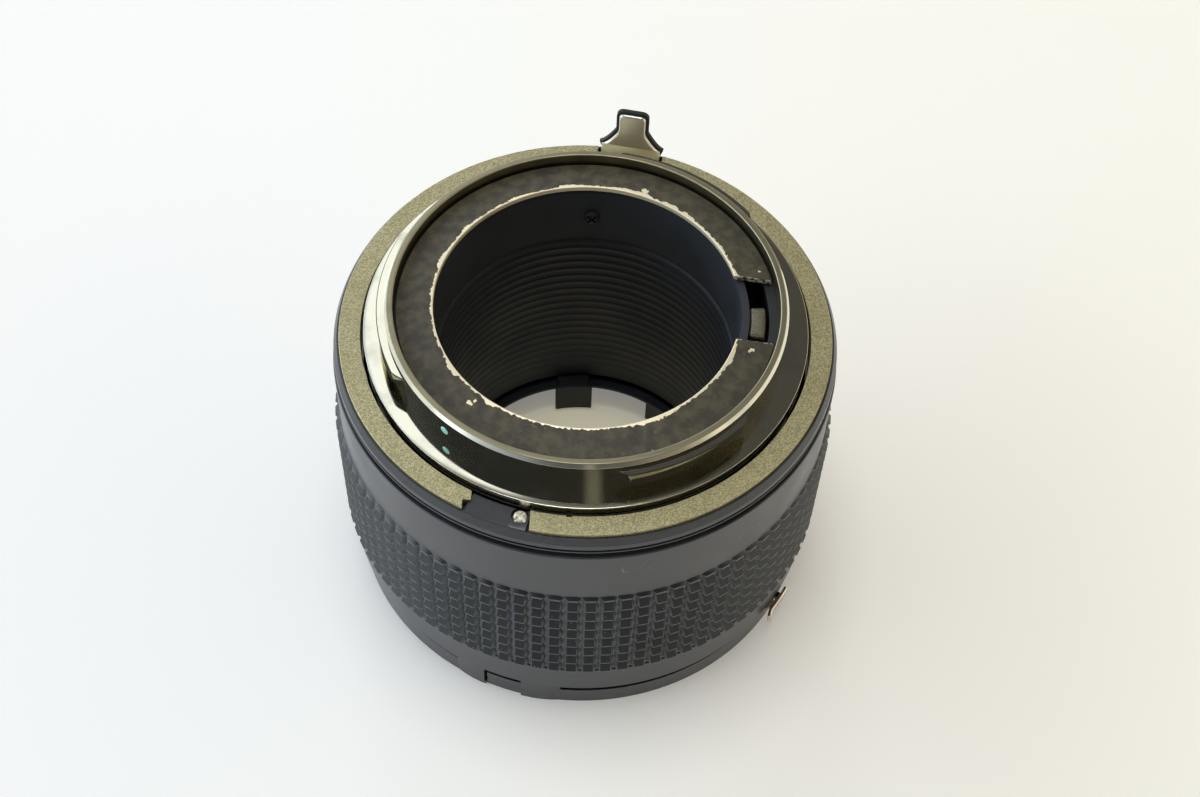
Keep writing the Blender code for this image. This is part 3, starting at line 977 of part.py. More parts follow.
def build():
    for existing in list(bpy.data.objects):
        bpy.data.objects.remove(existing)
    bpy.context.scene.collection.children.link(tube_collection)
    bpy.context.scene.collection.children.link(cutter_collection)

    satin_black = finish("satin_black", (0.055, 0.056, 0.06), 0.42)
    baffle_black = finish("baffle_black", (0.012, 0.012, 0.013), 0.85)
    worn_black = finish("worn_black", (0.05, 0.048, 0.045), 0.45)
    rubber = finish("black_rubber", (0.05, 0.052, 0.055), 0.6)
    chrome = finish("bright_chrome", (0.75, 0.74, 0.68), 0.12, 1.0)
    olive = finish("blasted_olive", (0.42, 0.40, 0.31), 0.45, 0.8)
    nickel = finish("nickel_sheet", (0.72, 0.70, 0.67), 0.2, 1.0)
    steel = finish("plain_steel", (0.6, 0.59, 0.57), 0.3, 1.0)

    body = group("tube_body")
    turning = group("aperture_coupling")
    carrier_body = group("stop_down")
    release = group("lens_release", polar(PIVOT_R, PIVOT_AZ))
    bpy.context.view_layer.update()

    barrel_shell(satin_black, body)
    rubber_grip(rubber, body)
    inner_tube(baffle_black, steel, body)
    camera_bayonet(chrome, body)
    mask_plate(worn_black, body)
    ribbed_baffle(baffle_black, steel, body)
    lens_mount(chrome, steel, body)
    end_plate(baffle_black, body)
    aperture_rings(satin_black, olive, steel, turning)
    coupling_claw(nickel, turning)
    stop_down_carrier(baffle_black, olive, steel, body, carrier_body)
    lens_release(nickel, steel, body, release)


build()
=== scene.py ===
from math import atan2, cos, degrees, pi, radians, sin, tan

import bmesh
import bpy
from mathutils import Matrix, Vector


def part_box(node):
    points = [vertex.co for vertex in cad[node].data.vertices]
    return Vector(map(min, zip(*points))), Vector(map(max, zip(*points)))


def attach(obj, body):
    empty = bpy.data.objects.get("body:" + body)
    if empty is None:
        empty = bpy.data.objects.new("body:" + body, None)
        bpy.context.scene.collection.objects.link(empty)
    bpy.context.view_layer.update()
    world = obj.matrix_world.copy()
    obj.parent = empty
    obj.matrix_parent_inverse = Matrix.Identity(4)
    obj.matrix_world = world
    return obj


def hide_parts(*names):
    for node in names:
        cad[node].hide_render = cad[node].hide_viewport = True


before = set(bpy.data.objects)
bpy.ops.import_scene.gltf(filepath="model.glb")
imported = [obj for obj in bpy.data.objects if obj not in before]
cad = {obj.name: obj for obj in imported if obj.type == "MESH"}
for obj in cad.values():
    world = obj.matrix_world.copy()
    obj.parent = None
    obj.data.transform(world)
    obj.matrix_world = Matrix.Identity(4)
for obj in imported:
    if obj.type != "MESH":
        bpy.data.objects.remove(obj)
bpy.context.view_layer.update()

MM = 0.001


# Inner tube and its posts
# The tube that carries both mounts, turned from aluminium and dyed a dull black inside the barrel.
# Its three posts reach through the sleeve, and steel countersunk screws hold the barrel to them.

def begin_finish(name):
    """A new finish: material, node tree, shader, and the spot on the piece that its patterns read."""
    finish = bpy.data.materials.new(name)
    finish.use_nodes = True
    tree = finish.node_tree
    spot = tree.nodes.new("ShaderNodeTexCoord").outputs["Object"]
    return finish, tree, tree.nodes["Principled BSDF"], spot


def lay(tree, kind, values=None, **settings):
    """One node of a tree. Values go to its inputs, and a socket among them is linked."""
    node = tree.nodes.new(kind)
    for key, value in settings.items():
        setattr(node, key, value)
    for key, value in (values or {}).items():
        if isinstance(value, bpy.types.NodeSocket):
            tree.links.new(value, node.inputs[key])
        else:
            node.inputs[key].default_value = value
    return node


def reckon(tree, operation, *values):
    """Arithmetic on one or two numbers of a tree."""
    return lay(tree, "ShaderNodeMath", dict(enumerate(values)), operation=operation).outputs[0]


def plus(tree, *values):
    """Sum of two numbers of a tree."""
    return reckon(tree, "ADD", *values)


def minus(tree, *values):
    """Difference of two numbers of a tree."""
    return reckon(tree, "SUBTRACT", *values)


def times(tree, *values):
    """Product of two numbers of a tree."""
    return reckon(tree, "MULTIPLY", *values)


def grain(tree, where, scale, detail=2.0, distortion=0.0):
    """Noise between 0 and 1. The scale counts its grains in a metre."""
    return lay(tree, "ShaderNodeTexNoise", {"Vector": where, "Scale": scale, "Detail": detail,
                                            "Distortion": distortion}).outputs["Fac"]


def fade(tree, value, start, end, low=0.0, high=1.0):
    """Smooth change from low to high while the value goes from start to end."""
    return lay(tree, "ShaderNodeMapRange", {"Value": value, "From Min": start, "From Max": end,
                                            "To Min": low, "To Max": high},
               interpolation_type="SMOOTHSTEP").outputs["Result"]


def tint(tree, share, first, second):
    """Colour between two others."""
    return lay(tree, "ShaderNodeMix", {0: share, 6: first, 7: second}, data_type="RGBA").outputs[2]


def relief(tree, shader, height, strength, depth):
    """Fine unevenness that the light picks up."""
    bump = lay(tree, "ShaderNodeBump", {"Height": height, "Strength": strength, "Distance": depth})
    tree.links.new(bump.outputs[0], shader.inputs["Normal"])


def black_finish(name, dark, light, rough, scuffs=0.0, gloss=0.5):
    """Dyed or painted black, slightly clouded, with a fine tooth and a few hairline scuffs."""
    finish, tree, shader, spot = begin_finish(name)
    clouds = grain(tree, spot, 140.0, 3.0)
    colour = tint(tree, fade(tree, clouds, 0.35, 0.65), (*dark, 1.0), (*light, 1.0))
    if scuffs:
        wander = grain(tree, spot, 75.0, 1.0, 3.0)
        off_line = reckon(tree, "ABSOLUTE", minus(tree, wander, 0.5))
        hair = fade(tree, off_line, 0.0, 0.0035, 1.0, 0.0)
        patch = fade(tree, grain(tree, spot, 95.0, 2.0), 0.54, 0.64)
        worn = times(tree, times(tree, hair, patch), scuffs)
        colour = tint(tree, worn, colour, (0.30, 0.30, 0.29, 1.0))
    tree.links.new(colour, shader.inputs["Base Color"])
    tree.links.new(fade(tree, clouds, 0.3, 0.7, rough - 0.04, rough + 0.05), shader.inputs["Roughness"])
    shader.inputs["Specular IOR Level"].default_value = gloss
    relief(tree, shader, grain(tree, spot, 5200.0, 2.0), 0.04, 0.00002)
    return finish


inside_black = black_finish("inside_black", (0.010, 0.010, 0.011), (0.017, 0.017, 0.018), 0.62)
cad["inner_tube"].material_slots[0].material = inside_black


def steel_finish(name, colour, rough, metallic=1.0):
    """Turned or drawn metal: fine lines round the axis and a little tarnish."""
    finish, tree, shader, spot = begin_finish(name)
    clouds = grain(tree, spot, 420.0, 3.0)
    duller = tuple(0.72 * part for part in colour)
    tree.links.new(tint(tree, fade(tree, clouds, 0.35, 0.7), (*colour, 1.0), (*duller, 1.0)),
                   shader.inputs["Base Color"])
    shader.inputs["Metallic"].default_value = metallic
    tree.links.new(fade(tree, clouds, 0.3, 0.7, rough, rough + 0.12), shader.inputs["Roughness"])
    relief(tree, shader, grain(tree, spot, 3800.0, 2.0), 0.08, 0.00003)
    return finish


plain_steel = steel_finish("plain_steel", (0.62, 0.60, 0.54), 0.28)
for number in (1, 2, 3):
    cad[f"barrel_screw_{number}"].material_slots[0].material = plain_steel


# Ribbed light baffle
# Thin tube down the bore, dyed dull blue-black. It is smooth at the camera end and lined with fine
# square ribs below, so that light off the bore never reaches the film.

AROUND = 256
HOLD = 0.03     # beside each rounding, to keep it crisp


def soften(corners):
    """Closed outline in mm from (radius, height, rounding) corners, with loops that hold each round."""
    outline = []
    for index, (r, z, rounding) in enumerate(corners):
        here = Vector((r, z))
        if not rounding:
            outline.append(here)
            continue
        before = (Vector(corners[index - 1][:2]) - here).normalized()
        after = (Vector(corners[(index + 1) % len(corners)][:2]) - here).normalized()
        half = before.angle(after) / 2
        reach = rounding / tan(half)
        centre = here + (before + after).normalized() * rounding / sin(half)
        start, end = here + before * reach - centre, here + after * reach - centre
        outline.append(here + before * (reach + HOLD))
        for step in range(5):
            outline.append(centre + start.lerp(end, step / 4).normalized() * rounding)
        outline.append(here + after * (reach + HOLD))
    return outline


def piece_from(name, form, finish):
    """Object of a bmesh form, its finish on it and its faces pointing outwards."""
    bmesh.ops.recalc_face_normals(form, faces=form.faces[:])
    if form.calc_volume(signed=True) < 0:
        bmesh.ops.reverse_faces(form, faces=form.faces[:])
    mesh = bpy.data.meshes.new(name)
    form.to_mesh(mesh)
    form.free()
    if finish:
        mesh.materials.append(finish)
    piece = bpy.data.objects.new(name, mesh)
    bpy.context.scene.collection.objects.link(piece)
    return piece


def skin(form, loops, closed=False):
    """Faces from each loop of points to the next. A row that doesn't close gets a face at both ends."""
    for here, there in zip(loops, loops[1:] + loops[:1] if closed else loops[1:]):
        for index in range(len(here)):
            after = (index + 1) % len(here)
            form.faces.new((here[index], there[index], there[after], here[after]))
    if not closed:
        form.faces.new(loops[0])
        form.faces.new(loops[-1][::-1])


def turn_ring(name, corners, finish, around=AROUND):
    """Ring turned from a closed outline, round the tube's axis."""
    outline = soften(corners)
    form = bmesh.new()
    loops = []
    for step in range(around):
        angle = 2 * pi * step / around
        loops.append([form.verts.new((p.x * cos(angle) * MM, p.x * sin(angle) * MM, p.y * MM))
                      for p in outline])
    skin(form, loops, closed=True)
    return piece_from(name, form, finish)


def settle(piece):
    """Keeps what a piece's modifiers make as its plain mesh."""
    made = bpy.data.meshes.new_from_object(piece.evaluated_get(bpy.context.evaluated_depsgraph_get()))
    piece.modifiers.clear()
    old = piece.data
    piece.data = made
    made.name = piece.name
    bpy.data.meshes.remove(old)


def smooth(piece, sharpest=32):
    """Round surfaces shade smoothly, flat ones stay flat up to their edges, and sharp edges stay crisp."""
    for face in piece.data.polygons:
        face.use_smooth = True
    piece.data.set_sharp_from_angle(angle=radians(sharpest))
    weigh = piece.modifiers.new("weigh", "WEIGHTED_NORMAL")
    weigh.keep_sharp = True
    settle(piece)


def fit(piece, body, slot, *stands_for):
    """The finished piece rides on its body and stands for its solids."""
    smooth(piece)
    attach(piece, body)
    if stands_for:
        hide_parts(*stands_for)


baffle_black = black_finish("baffle_black", (0.020, 0.022, 0.027), (0.028, 0.032, 0.039), 0.55, 0.0, 0.35)
BAFFLE_OUT_R, SMOOTH_BORE_R, MOUTH_R = 20.4, 19.35, 19.5
RIB_FOOT_R, RIB_CREST_R, RIB_PITCH, RIBS_TOP_Z = 19.09, 19.0, 1.46, 36.2
low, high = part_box("ribbed_baffle")
baffle_top, baffle_foot = high.z / MM, low.z / MM
baffle_outline = [(BAFFLE_OUT_R, baffle_top, 0), (BAFFLE_OUT_R, baffle_foot, 0), (RIB_FOOT_R, baffle_foot, 0)]
ribs = []
level = RIBS_TOP_Z
while level - RIB_PITCH > baffle_foot + RIB_PITCH:
    ribs += [(RIB_FOOT_R, level, 0), (RIB_FOOT_R, level - 0.50 * RIB_PITCH, 0),
             (RIB_CREST_R, level - 0.62 * RIB_PITCH, 0), (RIB_CREST_R, level - 0.88 * RIB_PITCH, 0)]
    level -= RIB_PITCH
baffle_outline += [(RIB_FOOT_R, level, 0)] + ribs[::-1]
baffle_outline += [(SMOOTH_BORE_R, 36.5, 0), (SMOOTH_BORE_R, baffle_top - 0.25, 0), (MOUTH_R, baffle_top, 0)]
baffle = turn_ring("baffle", baffle_outline, baffle_black, 192)
fit(baffle, "tube_body", "baffle_black", "ribbed_baffle")


def turned_screw(name, foot, tip, radius, dome, finish, slot_width, slot_reach=1.6):
    """Low domed screw head with a cross recess, standing from foot towards tip (both in mm)."""
    axis = (Vector(tip) - Vector(foot)).normalized()
    tall = (Vector(tip) - Vector(foot)).length
    form = bmesh.new()
    profile = [(radius, 0.0), (radius, tall - dome)]
    for step in range(1, 5):
        angle = pi / 2 * step / 5
        profile.append((radius * cos(angle), tall - dome + dome * sin(angle)))
    skin(form, [[form.verts.new((r * cos(2 * pi * k / 32), r * sin(2 * pi * k / 32), z)) for k in range(32)]
                for r, z in profile])
    head = piece_from(name, form, finish)
    for turn in (45, 135):
        bar = bmesh.new()
        bmesh.ops.create_cube(bar, size=1.0)
        bmesh.ops.scale(bar, vec=(slot_reach * radius, slot_width, 2 * dome), verts=bar.verts)
        slant = Matrix.Rotation(radians(turn), 3, "Z")
        bmesh.ops.rotate(bar, cent=(0, 0, 0), matrix=slant, verts=bar.verts)
        bmesh.ops.translate(bar, vec=(0, 0, tall), verts=bar.verts)
        cut(head, piece_from("cross_cutter", bar, None))
    stand = axis.to_track_quat("Z", "Y").to_matrix().to_4x4()
    head.data.transform(Matrix.Scale(MM, 4) @ Matrix.Translation(Vector(foot)) @ stand)
    return head


def cut(piece, tool, operation="DIFFERENCE"):
    """Cuts a piece with a tool, or joins the tool to it. The tool is used up."""
    joint = piece.modifiers.new("cut", "BOOLEAN")
    joint.operation, joint.solver, joint.object = operation, "EXACT", tool
    settle(piece)
    tool_mesh = tool.data
    bpy.data.objects.remove(tool)
    bpy.data.meshes.remove(tool_mesh)


def polar(r, azimuth, z=0.0):
    """Point in mm at a radius, an azimuth in degrees and a height."""
    return Vector((r * cos(radians(azimuth)), r * sin(radians(azimuth)), z))


HEAD_SEAT_R, HEAD_TOP_R = 19.6, 18.75
for number, azimuth in enumerate((90, 210, 330), 1):
    middle = sum(corner.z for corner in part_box(f"baffle_screw_{number}")) / 2 / MM
    seat, top = polar(HEAD_SEAT_R, azimuth, middle), polar(HEAD_TOP_R, azimuth, middle)
    head = turned_screw(f"bore_screw_{number}", seat, top, 1.05, 0.35, baffle_black, 0.28)
    fit(head, "tube_body", "plain_steel", f"baffle_screw_{number}")


# Stop-down carrier
# Thin blackened tube that turns between the baffle and the inner tube. Its sand-blasted lever
# shows in the mask's opening, its finger hangs at the lens end, and a coil spring pulls it back.

cad["stop_down_carrier"].material_slots[0].material = inside_black


def arc_block(inner, outer, low, high, start, end, edge=0.0, steps=24):
    """Block bent round the axis, between two radii, heights and azimuths, its edges broken."""
    form = bmesh.new()
    loops = []
    for step in range(steps + 1):
        azimuth = start + (end - start) * step / steps
        loops.append([form.verts.new(polar(r, azimuth, z) * MM)
                      for r, z in ((inner, low), (outer, low), (outer, high), (inner, high))])
    skin(form, loops)
    bmesh.ops.recalc_face_normals(form, faces=form.faces[:])
    if edge:
        sharp = [side for side in form.edges if side.calc_face_angle(0.0) > radians(40)]
        bmesh.ops.bevel(form, geom=sharp, offset=edge * MM, segments=3, profile=0.5, affect="EDGES")
    return form


def blasted_finish(name, dark, light, rough):
    """Sand-blasted metal: a fine sparkle of lighter and darker grains, a shade duller in places."""
    finish, tree, shader, spot = begin_finish(name)
    sand = grain(tree, spot, 6500.0, 3.0)
    wide = grain(tree, spot, 170.0, 3.0)
    colour = tint(tree, fade(tree, sand, 0.28, 0.75), (*dark, 1.0), (*light, 1.0))
    colour = tint(tree, fade(tree, wide, 0.45, 0.75, 0.0, 0.18), colour, (*dark, 1.0))
    tree.links.new(colour, shader.inputs["Base Color"])
    shader.inputs["Metallic"].default_value = 0.75
    shader.inputs["Roughness"].default_value = rough
    relief(tree, shader, sand, 0.40, 0.00005)
    return finish


olive_blast = blasted_finish("olive_blast", (0.25, 0.222, 0.116), (0.67, 0.61, 0.36), 0.42)
lever_olive = blasted_finish("lever_olive", (0.11, 0.098, 0.067), (0.25, 0.228, 0.16), 0.5)
LEVER_R, LEVER_Z, LEVER_AZ = (20.5, 22.45), (42.6, 45.8), (-8.9, 3.8)
lever = piece_from("lever_block", arc_block(*LEVER_R, *LEVER_Z, *LEVER_AZ, 0.38, 16), lever_olive)
fit(lever, "stop_down", "blasted_olive", "stop_down_lever")

FINGER_R, FINGER_T, FINGER_AZ, FINGER_FOOT_Z = 17.0, 0.6, (87.0, 105.0), 0.4
finger_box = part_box("stop_down_finger")
arm_z = finger_box[1].z / MM
finger_sheet = arc_block(FINGER_R, FINGER_R + FINGER_T, FINGER_FOOT_Z, arm_z, *FINGER_AZ, 0.12, 20)
finger = piece_from("finger_sheet", finger_sheet, baffle_black)
arm = arc_block(FINGER_R + 0.3, 20.5, arm_z - FINGER_T, arm_z, 88.8, 103.2, 0.1, 20)
cut(finger, piece_from("finger_arm", arm, baffle_black), "UNION")
fit(finger, "stop_down", "satin_black", "stop_down_finger")

for name in ("carrier_pin", "spring_post", "stop_down_spring"):
    cad[name].material_slots[0].material = plain_steel


# Camera bayonet
# Flange, short cylinder and rim turned in one from brass and chromed, with three lugs that lock in
# the camera. Four screws hold it from below. A drop of green paint on the cylinder is the index.

def split(tree, vector):
    """The three numbers of a vector."""
    return lay(tree, "ShaderNodeSeparateXYZ", {0: vector}).outputs


def from_axis(tree, axes):
    """Distance of a spot from the tube's axis."""
    return reckon(tree, "SQRT", plus(tree, times(tree, axes[0], axes[0]), times(tree, axes[1], axes[1])))


def chrome_finish(name, colour, rough, lines):
    """Chromed turning, with fine tool lines round the axis and a few faint rubbed marks."""
    finish, tree, shader, spot = begin_finish(name)
    axes = split(tree, spot)
    section = lay(tree, "ShaderNodeCombineXYZ", {0: from_axis(tree, axes), 2: axes[2]}).outputs[0]
    tool_lines = grain(tree, section, 7000.0, 2.0)
    rubbed = grain(tree, spot, 260.0, 4.0)
    duller = tuple(0.80 * part for part in colour)
    tree.links.new(tint(tree, fade(tree, rubbed, 0.45, 0.75), (*colour, 1.0), (*duller, 1.0)),
                   shader.inputs["Base Color"])
    shader.inputs["Metallic"].default_value = 1.0
    tree.links.new(fade(tree, rubbed, 0.40, 0.75, rough, rough + 0.06), shader.inputs["Roughness"])
    relief(tree, shader, tool_lines, lines, 0.00001)
    return finish


bright_chrome = chrome_finish("bright_chrome", (0.80, 0.77, 0.63), 0.055, 0.02)
rubbed_rim = chrome_finish("rubbed_rim", (0.36, 0.33, 0.215), 0.30, 0.2)
FLANGE_FOOT_Z, FLANGE_Z, LEDGE_Z, RIM_Z = 40.4, 43.3, 45.4, 47.9
FLANGE_R, WALL_R, RIM_IN_R, LEDGE_IN_R = 28.05, 25.2, 24.1, 22.9
LUG_FOOT_Z, LUG_TOP_Z, LUG_REACH, LUG_RUN = 45.35, 46.85, 0.9, 3.5
LUG_CHAMFER = 0.11
bayonet = turn_ring("bayonet", [
    (24.85, RIM_Z, 0.12), (WALL_R, 47.35, 0.05), (WALL_R, FLANGE_Z, 0), (27.25, FLANGE_Z, 0),
    (FLANGE_R, 43.24, 0.05), (FLANGE_R, FLANGE_FOOT_Z, 0.1), (LEDGE_IN_R, FLANGE_FOOT_Z, 0.1),
    (LEDGE_IN_R, LEDGE_Z, 0.1), (RIM_IN_R, LEDGE_Z, 0), (RIM_IN_R, RIM_Z, 0.15)], bright_chrome)
bayonet.data.materials.append(rubbed_rim)
for face in bayonet.data.polygons:
    if face.center.z > (RIM_Z - 0.2) * MM:
        face.material_index = 1


def lug_form(start, end):
    """One lug: a bent block whose ends run down to the cylinder over a few degrees."""
    form = bmesh.new()
    loops = []
    for step in range(61):
        azimuth = start + (end - start) * step / 60
        outer = WALL_R + 0.1 + LUG_REACH * min(1.0, (azimuth - start) / LUG_RUN, (end - azimuth) / LUG_RUN)
        loops.append([form.verts.new(polar(r, azimuth, z) * MM) for r, z in (
            (24.8, LUG_FOOT_Z), (outer, LUG_FOOT_Z), (outer, LUG_TOP_Z - LUG_CHAMFER),
            (outer - LUG_CHAMFER, LUG_TOP_Z), (24.8, LUG_TOP_Z))])
    skin(form, loops)
    return form


for start, end in ((154, 211.5), (280, 322), (35, 85)):
    cut(bayonet, piece_from("lug", lug_form(start, end), bright_chrome), "UNION")
bayonet.data.materials.append(inside_black)
for face in bayonet.data.polygons:
    centre = face.center / MM
    inside = centre.xy.length < RIM_IN_R + 0.1 and centre.z < RIM_Z - 0.1
    # The lugs' top chamfers take the dull black inside finish: painted shade along each lug's outer top edge.
    chamfer_painted_dark = 46.7 < centre.z < LUG_TOP_Z - 0.01 and centre.xy.length > WALL_R + 0.06
    if inside and centre.z > 46.2:
        face.material_index = 1
    elif inside or chamfer_painted_dark:
        face.material_index = 2
fit(bayonet, "tube_body", "bright_chrome", "camera_bayonet")
for number in (1, 2, 3, 4):
    cad[f"bayonet_screw_{number}"].material_slots[0].material = plain_steel


def enamel_finish(name, colour, rough):
    """Brushed-on enamel, slightly uneven."""
    finish, tree, shader, spot = begin_finish(name)
    uneven = grain(tree, spot, 1500.0, 2.0)
    deeper = tuple(0.7 * part for part in colour)
    tree.links.new(tint(tree, uneven, (*colour, 1.0), (*deeper, 1.0)), shader.inputs["Base Color"])
    shader.inputs["Roughness"].default_value = rough
    relief(tree, shader, uneven, 0.2, 0.00005)
    return finish


green_enamel = enamel_finish("green_enamel", (0.42, 0.95, 0.80), 0.3)
DROP_R, DROP_TALL, DROP_AZ, DROP_Z = 0.6, 0.12, -129.9, 45.45
drop = bmesh.new()
drop_rings = []
for ring in range(6):
    spread = DROP_R * sin(pi / 2 * (5 - ring) / 5)
    rise = DROP_TALL * sin(pi / 2 * ring / 5) - 0.02
    spots = []
    for k in range(24 if ring < 5 else 1):
        along, up = spread * cos(2 * pi * k / 24), spread * sin(2 * pi * k / 24)
        azimuth = DROP_AZ + degrees(along / WALL_R)
        spots.append(drop.verts.new(polar(WALL_R + rise, azimuth, DROP_Z + up) * MM))
    drop_rings.append(spots)
for here, there in zip(drop_rings, drop_rings[1:]):
    for k in range(24):
        if len(there) == 1:
            drop.faces.new((here[k], here[(k + 1) % 24], there[0]))
        else:
            drop.faces.new((here[k], here[(k + 1) % 24], there[(k + 1) % 24], there[k]))
drop.faces.new(drop_rings[0][::-1])
index_dot = piece_from("index_dot", drop, green_enamel)
fit(index_dot, "tube_body", "bright_chrome")


# Mask plate
# Slightly coned brass plate inside the rim, painted dull black. It masks the frame and is open at
# the side for the lever. Use has scratched its paint and worn the edge of its bore bare.

OPENING_X, OPENING_Y = (15.5, 25.5), (-4.8, 5.25)
FLAKES = ((6.9, 18.95, 0.75), (10.8, 16.05, 0.5), (-13.4, -16.1, 0.6), (-14.8, -17.2, 0.35),
          (-12.2, -17.8, 0.3), (20.4, -6.2, 0.5), (-12.9, -15.7, 0.5), (21.6, 6.6, 0.3), (6.0, 18.9, 0.5))


def worn_paint(name):
    """Dull black paint over pale metal, gone along the bore and the opening, and chipped near them."""
    finish, tree, shader, spot = begin_finish(name)
    axes = split(tree, spot)
    ragged = grain(tree, spot, 1700.0, 4.0)
    wide = grain(tree, spot, 330.0, 1.0)
    worn_to = plus(tree, fade(tree, ragged, 0.40, 0.62, 0.0, 0.00020), 0.01934)
    worn_to = plus(tree, worn_to, fade(tree, wide, 0.47, 0.67, 0.0, 0.00034))
    bare = fade(tree, minus(tree, worn_to, from_axis(tree, axes)), -0.00003, 0.00003)
    from_middle = reckon(tree, "ABSOLUTE", minus(tree, axes[1], 0.00022))
    edge = fade(tree, from_middle, 0.00500, 0.00516, 1.0, 0.0)
    edge = times(tree, edge, fade(tree, ragged, 0.46, 0.56))
    edge = times(tree, edge, reckon(tree, "GREATER_THAN", axes[0], 0.0))
    bare = reckon(tree, "MAXIMUM", bare, edge)
    for x, y, size in FLAKES:
        centre = Vector((x, y, 46.7)) * MM
        away = lay(tree, "ShaderNodeVectorMath", {0: spot, 1: centre}, operation="DISTANCE").outputs["Value"]
        ragged_away = plus(tree, away, fade(tree, ragged, 0.3, 0.7, 0.0, 0.0004))
        flake = fade(tree, ragged_away, size * MM, (size + 0.05) * MM, 1.0, 0.0)
        bare = reckon(tree, "MAXIMUM", bare, flake)
    specks = lay(tree, "ShaderNodeTexVoronoi", {"Vector": spot, "Scale": 480.0}).outputs["Distance"]
    few = fade(tree, grain(tree, spot, 300.0), 0.60, 0.64)
    bare = reckon(tree, "MAXIMUM", bare, times(tree, fade(tree, specks, 0.07, 0.10, 1.0, 0.0), few))
    clouds = fade(tree, grain(tree, spot, 700.0, 6.0), 0.35, 0.70)
    paint = tint(tree, clouds, (0.048, 0.042, 0.029, 1.0), (0.096, 0.083, 0.048, 1.0))
    off_line = reckon(tree, "ABSOLUTE", minus(tree, grain(tree, spot, 110.0, 2.0, 4.0), 0.5))
    hair = fade(tree, off_line, 0.0, 0.004, 1.0, 0.0)
    paint = tint(tree, times(tree, hair, 0.30), paint, (0.30, 0.27, 0.16, 1.0))
    tree.links.new(tint(tree, bare, paint, (0.96, 0.85, 0.59, 1.0)), shader.inputs["Base Color"])
    tree.links.new(fade(tree, bare, 0.0, 1.0, 0.52, 0.36), shader.inputs["Roughness"])
    tree.links.new(times(tree, bare, 0.45), shader.inputs["Metallic"])
    shader.inputs["Specular IOR Level"].default_value = 0.35
    height = minus(tree, times(tree, grain(tree, spot, 2600.0, 3.0), 0.35), bare)
    relief(tree, shader, height, 0.35, 0.00005)
    return finish


def block_tool(x, y, z, finish, turn=0.0):
    """Straight-sided cutter between pairs of x, y and z, turned round the axis by degrees."""
    form = bmesh.new()
    bmesh.ops.create_cube(form, size=1.0)
    bmesh.ops.scale(form, vec=[(pair[1] - pair[0]) * MM for pair in (x, y, z)], verts=form.verts)
    middle = Vector([sum(pair) / 2 * MM for pair in (x, y, z)])
    form.transform(Matrix.Rotation(radians(turn), 4, "Z") @ Matrix.Translation(middle))
    return piece_from("cutter", form, finish)


worn_black = worn_paint("worn_black")
MASK_R, MASK_BORE_R, MASK_EDGE_Z, MASK_BORE_Z, MASK_T = 23.8, 19.15, 45.7, 46.4, 0.7
mask = turn_ring("mask", [
    (MASK_R, MASK_EDGE_Z + MASK_T, 0.08), (MASK_R, MASK_EDGE_Z, 0.05),
    (MASK_BORE_R, MASK_BORE_Z, 0.08), (MASK_BORE_R, MASK_BORE_Z + MASK_T, 0.12)], worn_black)
cut(mask, block_tool(OPENING_X, OPENING_Y, (43.5, 49.5), worn_black))
fit(mask, "tube_body", "worn_black", "mask_plate")


# Drive sleeve
# Steel sleeve that joins the two turning rings. Three slots let it turn past the tube's posts.

for name in ("drive_sleeve", "collar_screw_1", "collar_screw_2", "collar_screw_3",
             "ring_screw_2", "ring_screw_3"):
    cad[name].material_slots[0].material = plain_steel


# Camera-end ring
# Satin black aluminium ring under the plate, bevelled at its edge, with the stop block that shows
# in the plate's cut-out. One of its three screws shows there too.

satin_black = black_finish("satin_black", (0.034, 0.036, 0.040), (0.046, 0.048, 0.052), 0.28, 0.35, 0.6)
RING_IN_R, STEP_IN_R, EDGE_IN_R, RING_R = 28.4, 30.4, 31.25, 32.0
RING_FOOT_Z, PLATE_SEAT_Z, EDGE_TOP_Z = 40.0, 41.2, 41.9
rear_ring = turn_ring("ring", [
    (EDGE_IN_R, PLATE_SEAT_Z, 0), (EDGE_IN_R, EDGE_TOP_Z, 0.02), (31.5, EDGE_TOP_Z, 0.04),
    (31.95, 41.0, 0.05), (RING_R, 40.3, 0.05), (31.7, 40.3, 0), (31.7, 40.65, 0), (STEP_IN_R, 40.65, 0),
    (STEP_IN_R, RING_FOOT_Z, 0), (RING_IN_R, RING_FOOT_Z, 0), (RING_IN_R, PLATE_SEAT_Z, 0.05)], satin_black)
RIDGE_AZ, RIDGE_TOP_Z = (-115.4, -100.7), 42.0
ridge = arc_block(28.5, 31.28, PLATE_SEAT_Z - 0.3, RIDGE_TOP_Z, *RIDGE_AZ, 0.1, 20)
cut(rear_ring, piece_from("ridge", ridge, satin_black), "UNION")


def hole_tool(spot, radius, tall, finish, segments=32):
    """Round upright cutter round a spot, half above and half below it."""
    form = bmesh.new()
    bmesh.ops.create_cone(form, cap_ends=True, segments=segments, radius1=radius * MM, radius2=radius * MM,
                          depth=tall * MM, matrix=Matrix.Translation(spot * MM))
    return piece_from("cutter", form, finish)


low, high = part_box("ring_screw_1")
centre = (low + high) / 2 / MM
POCKET_R, SCREW_R, SCREW_FOOT_Z, SCREW_TOP_Z = 1.08, 0.87, 41.35, 42.07
cut(rear_ring, hole_tool(Vector((centre.x, centre.y, 42.05)), POCKET_R, 1.4, satin_black, 40))
fit(rear_ring, "aperture_coupling", "satin_black", "rear_ring")
screw_steel = steel_finish("screw_steel", (0.96, 0.92, 0.78), 0.4, 0.45)
seat, top = (centre.x, centre.y, SCREW_FOOT_Z), (centre.x, centre.y, SCREW_TOP_Z)
ring_screw = turned_screw("ring_screw", seat, top, SCREW_R, 0.45, screw_steel, 0.40, 2.1)
fit(ring_screw, "aperture_coupling", "plain_steel", "ring_screw_1")


# Plate round the flange
# Flat ring of sand-blasted metal on the black ring, cut out at the front over the stop block, and
# recessed at the back for the claw's foot.

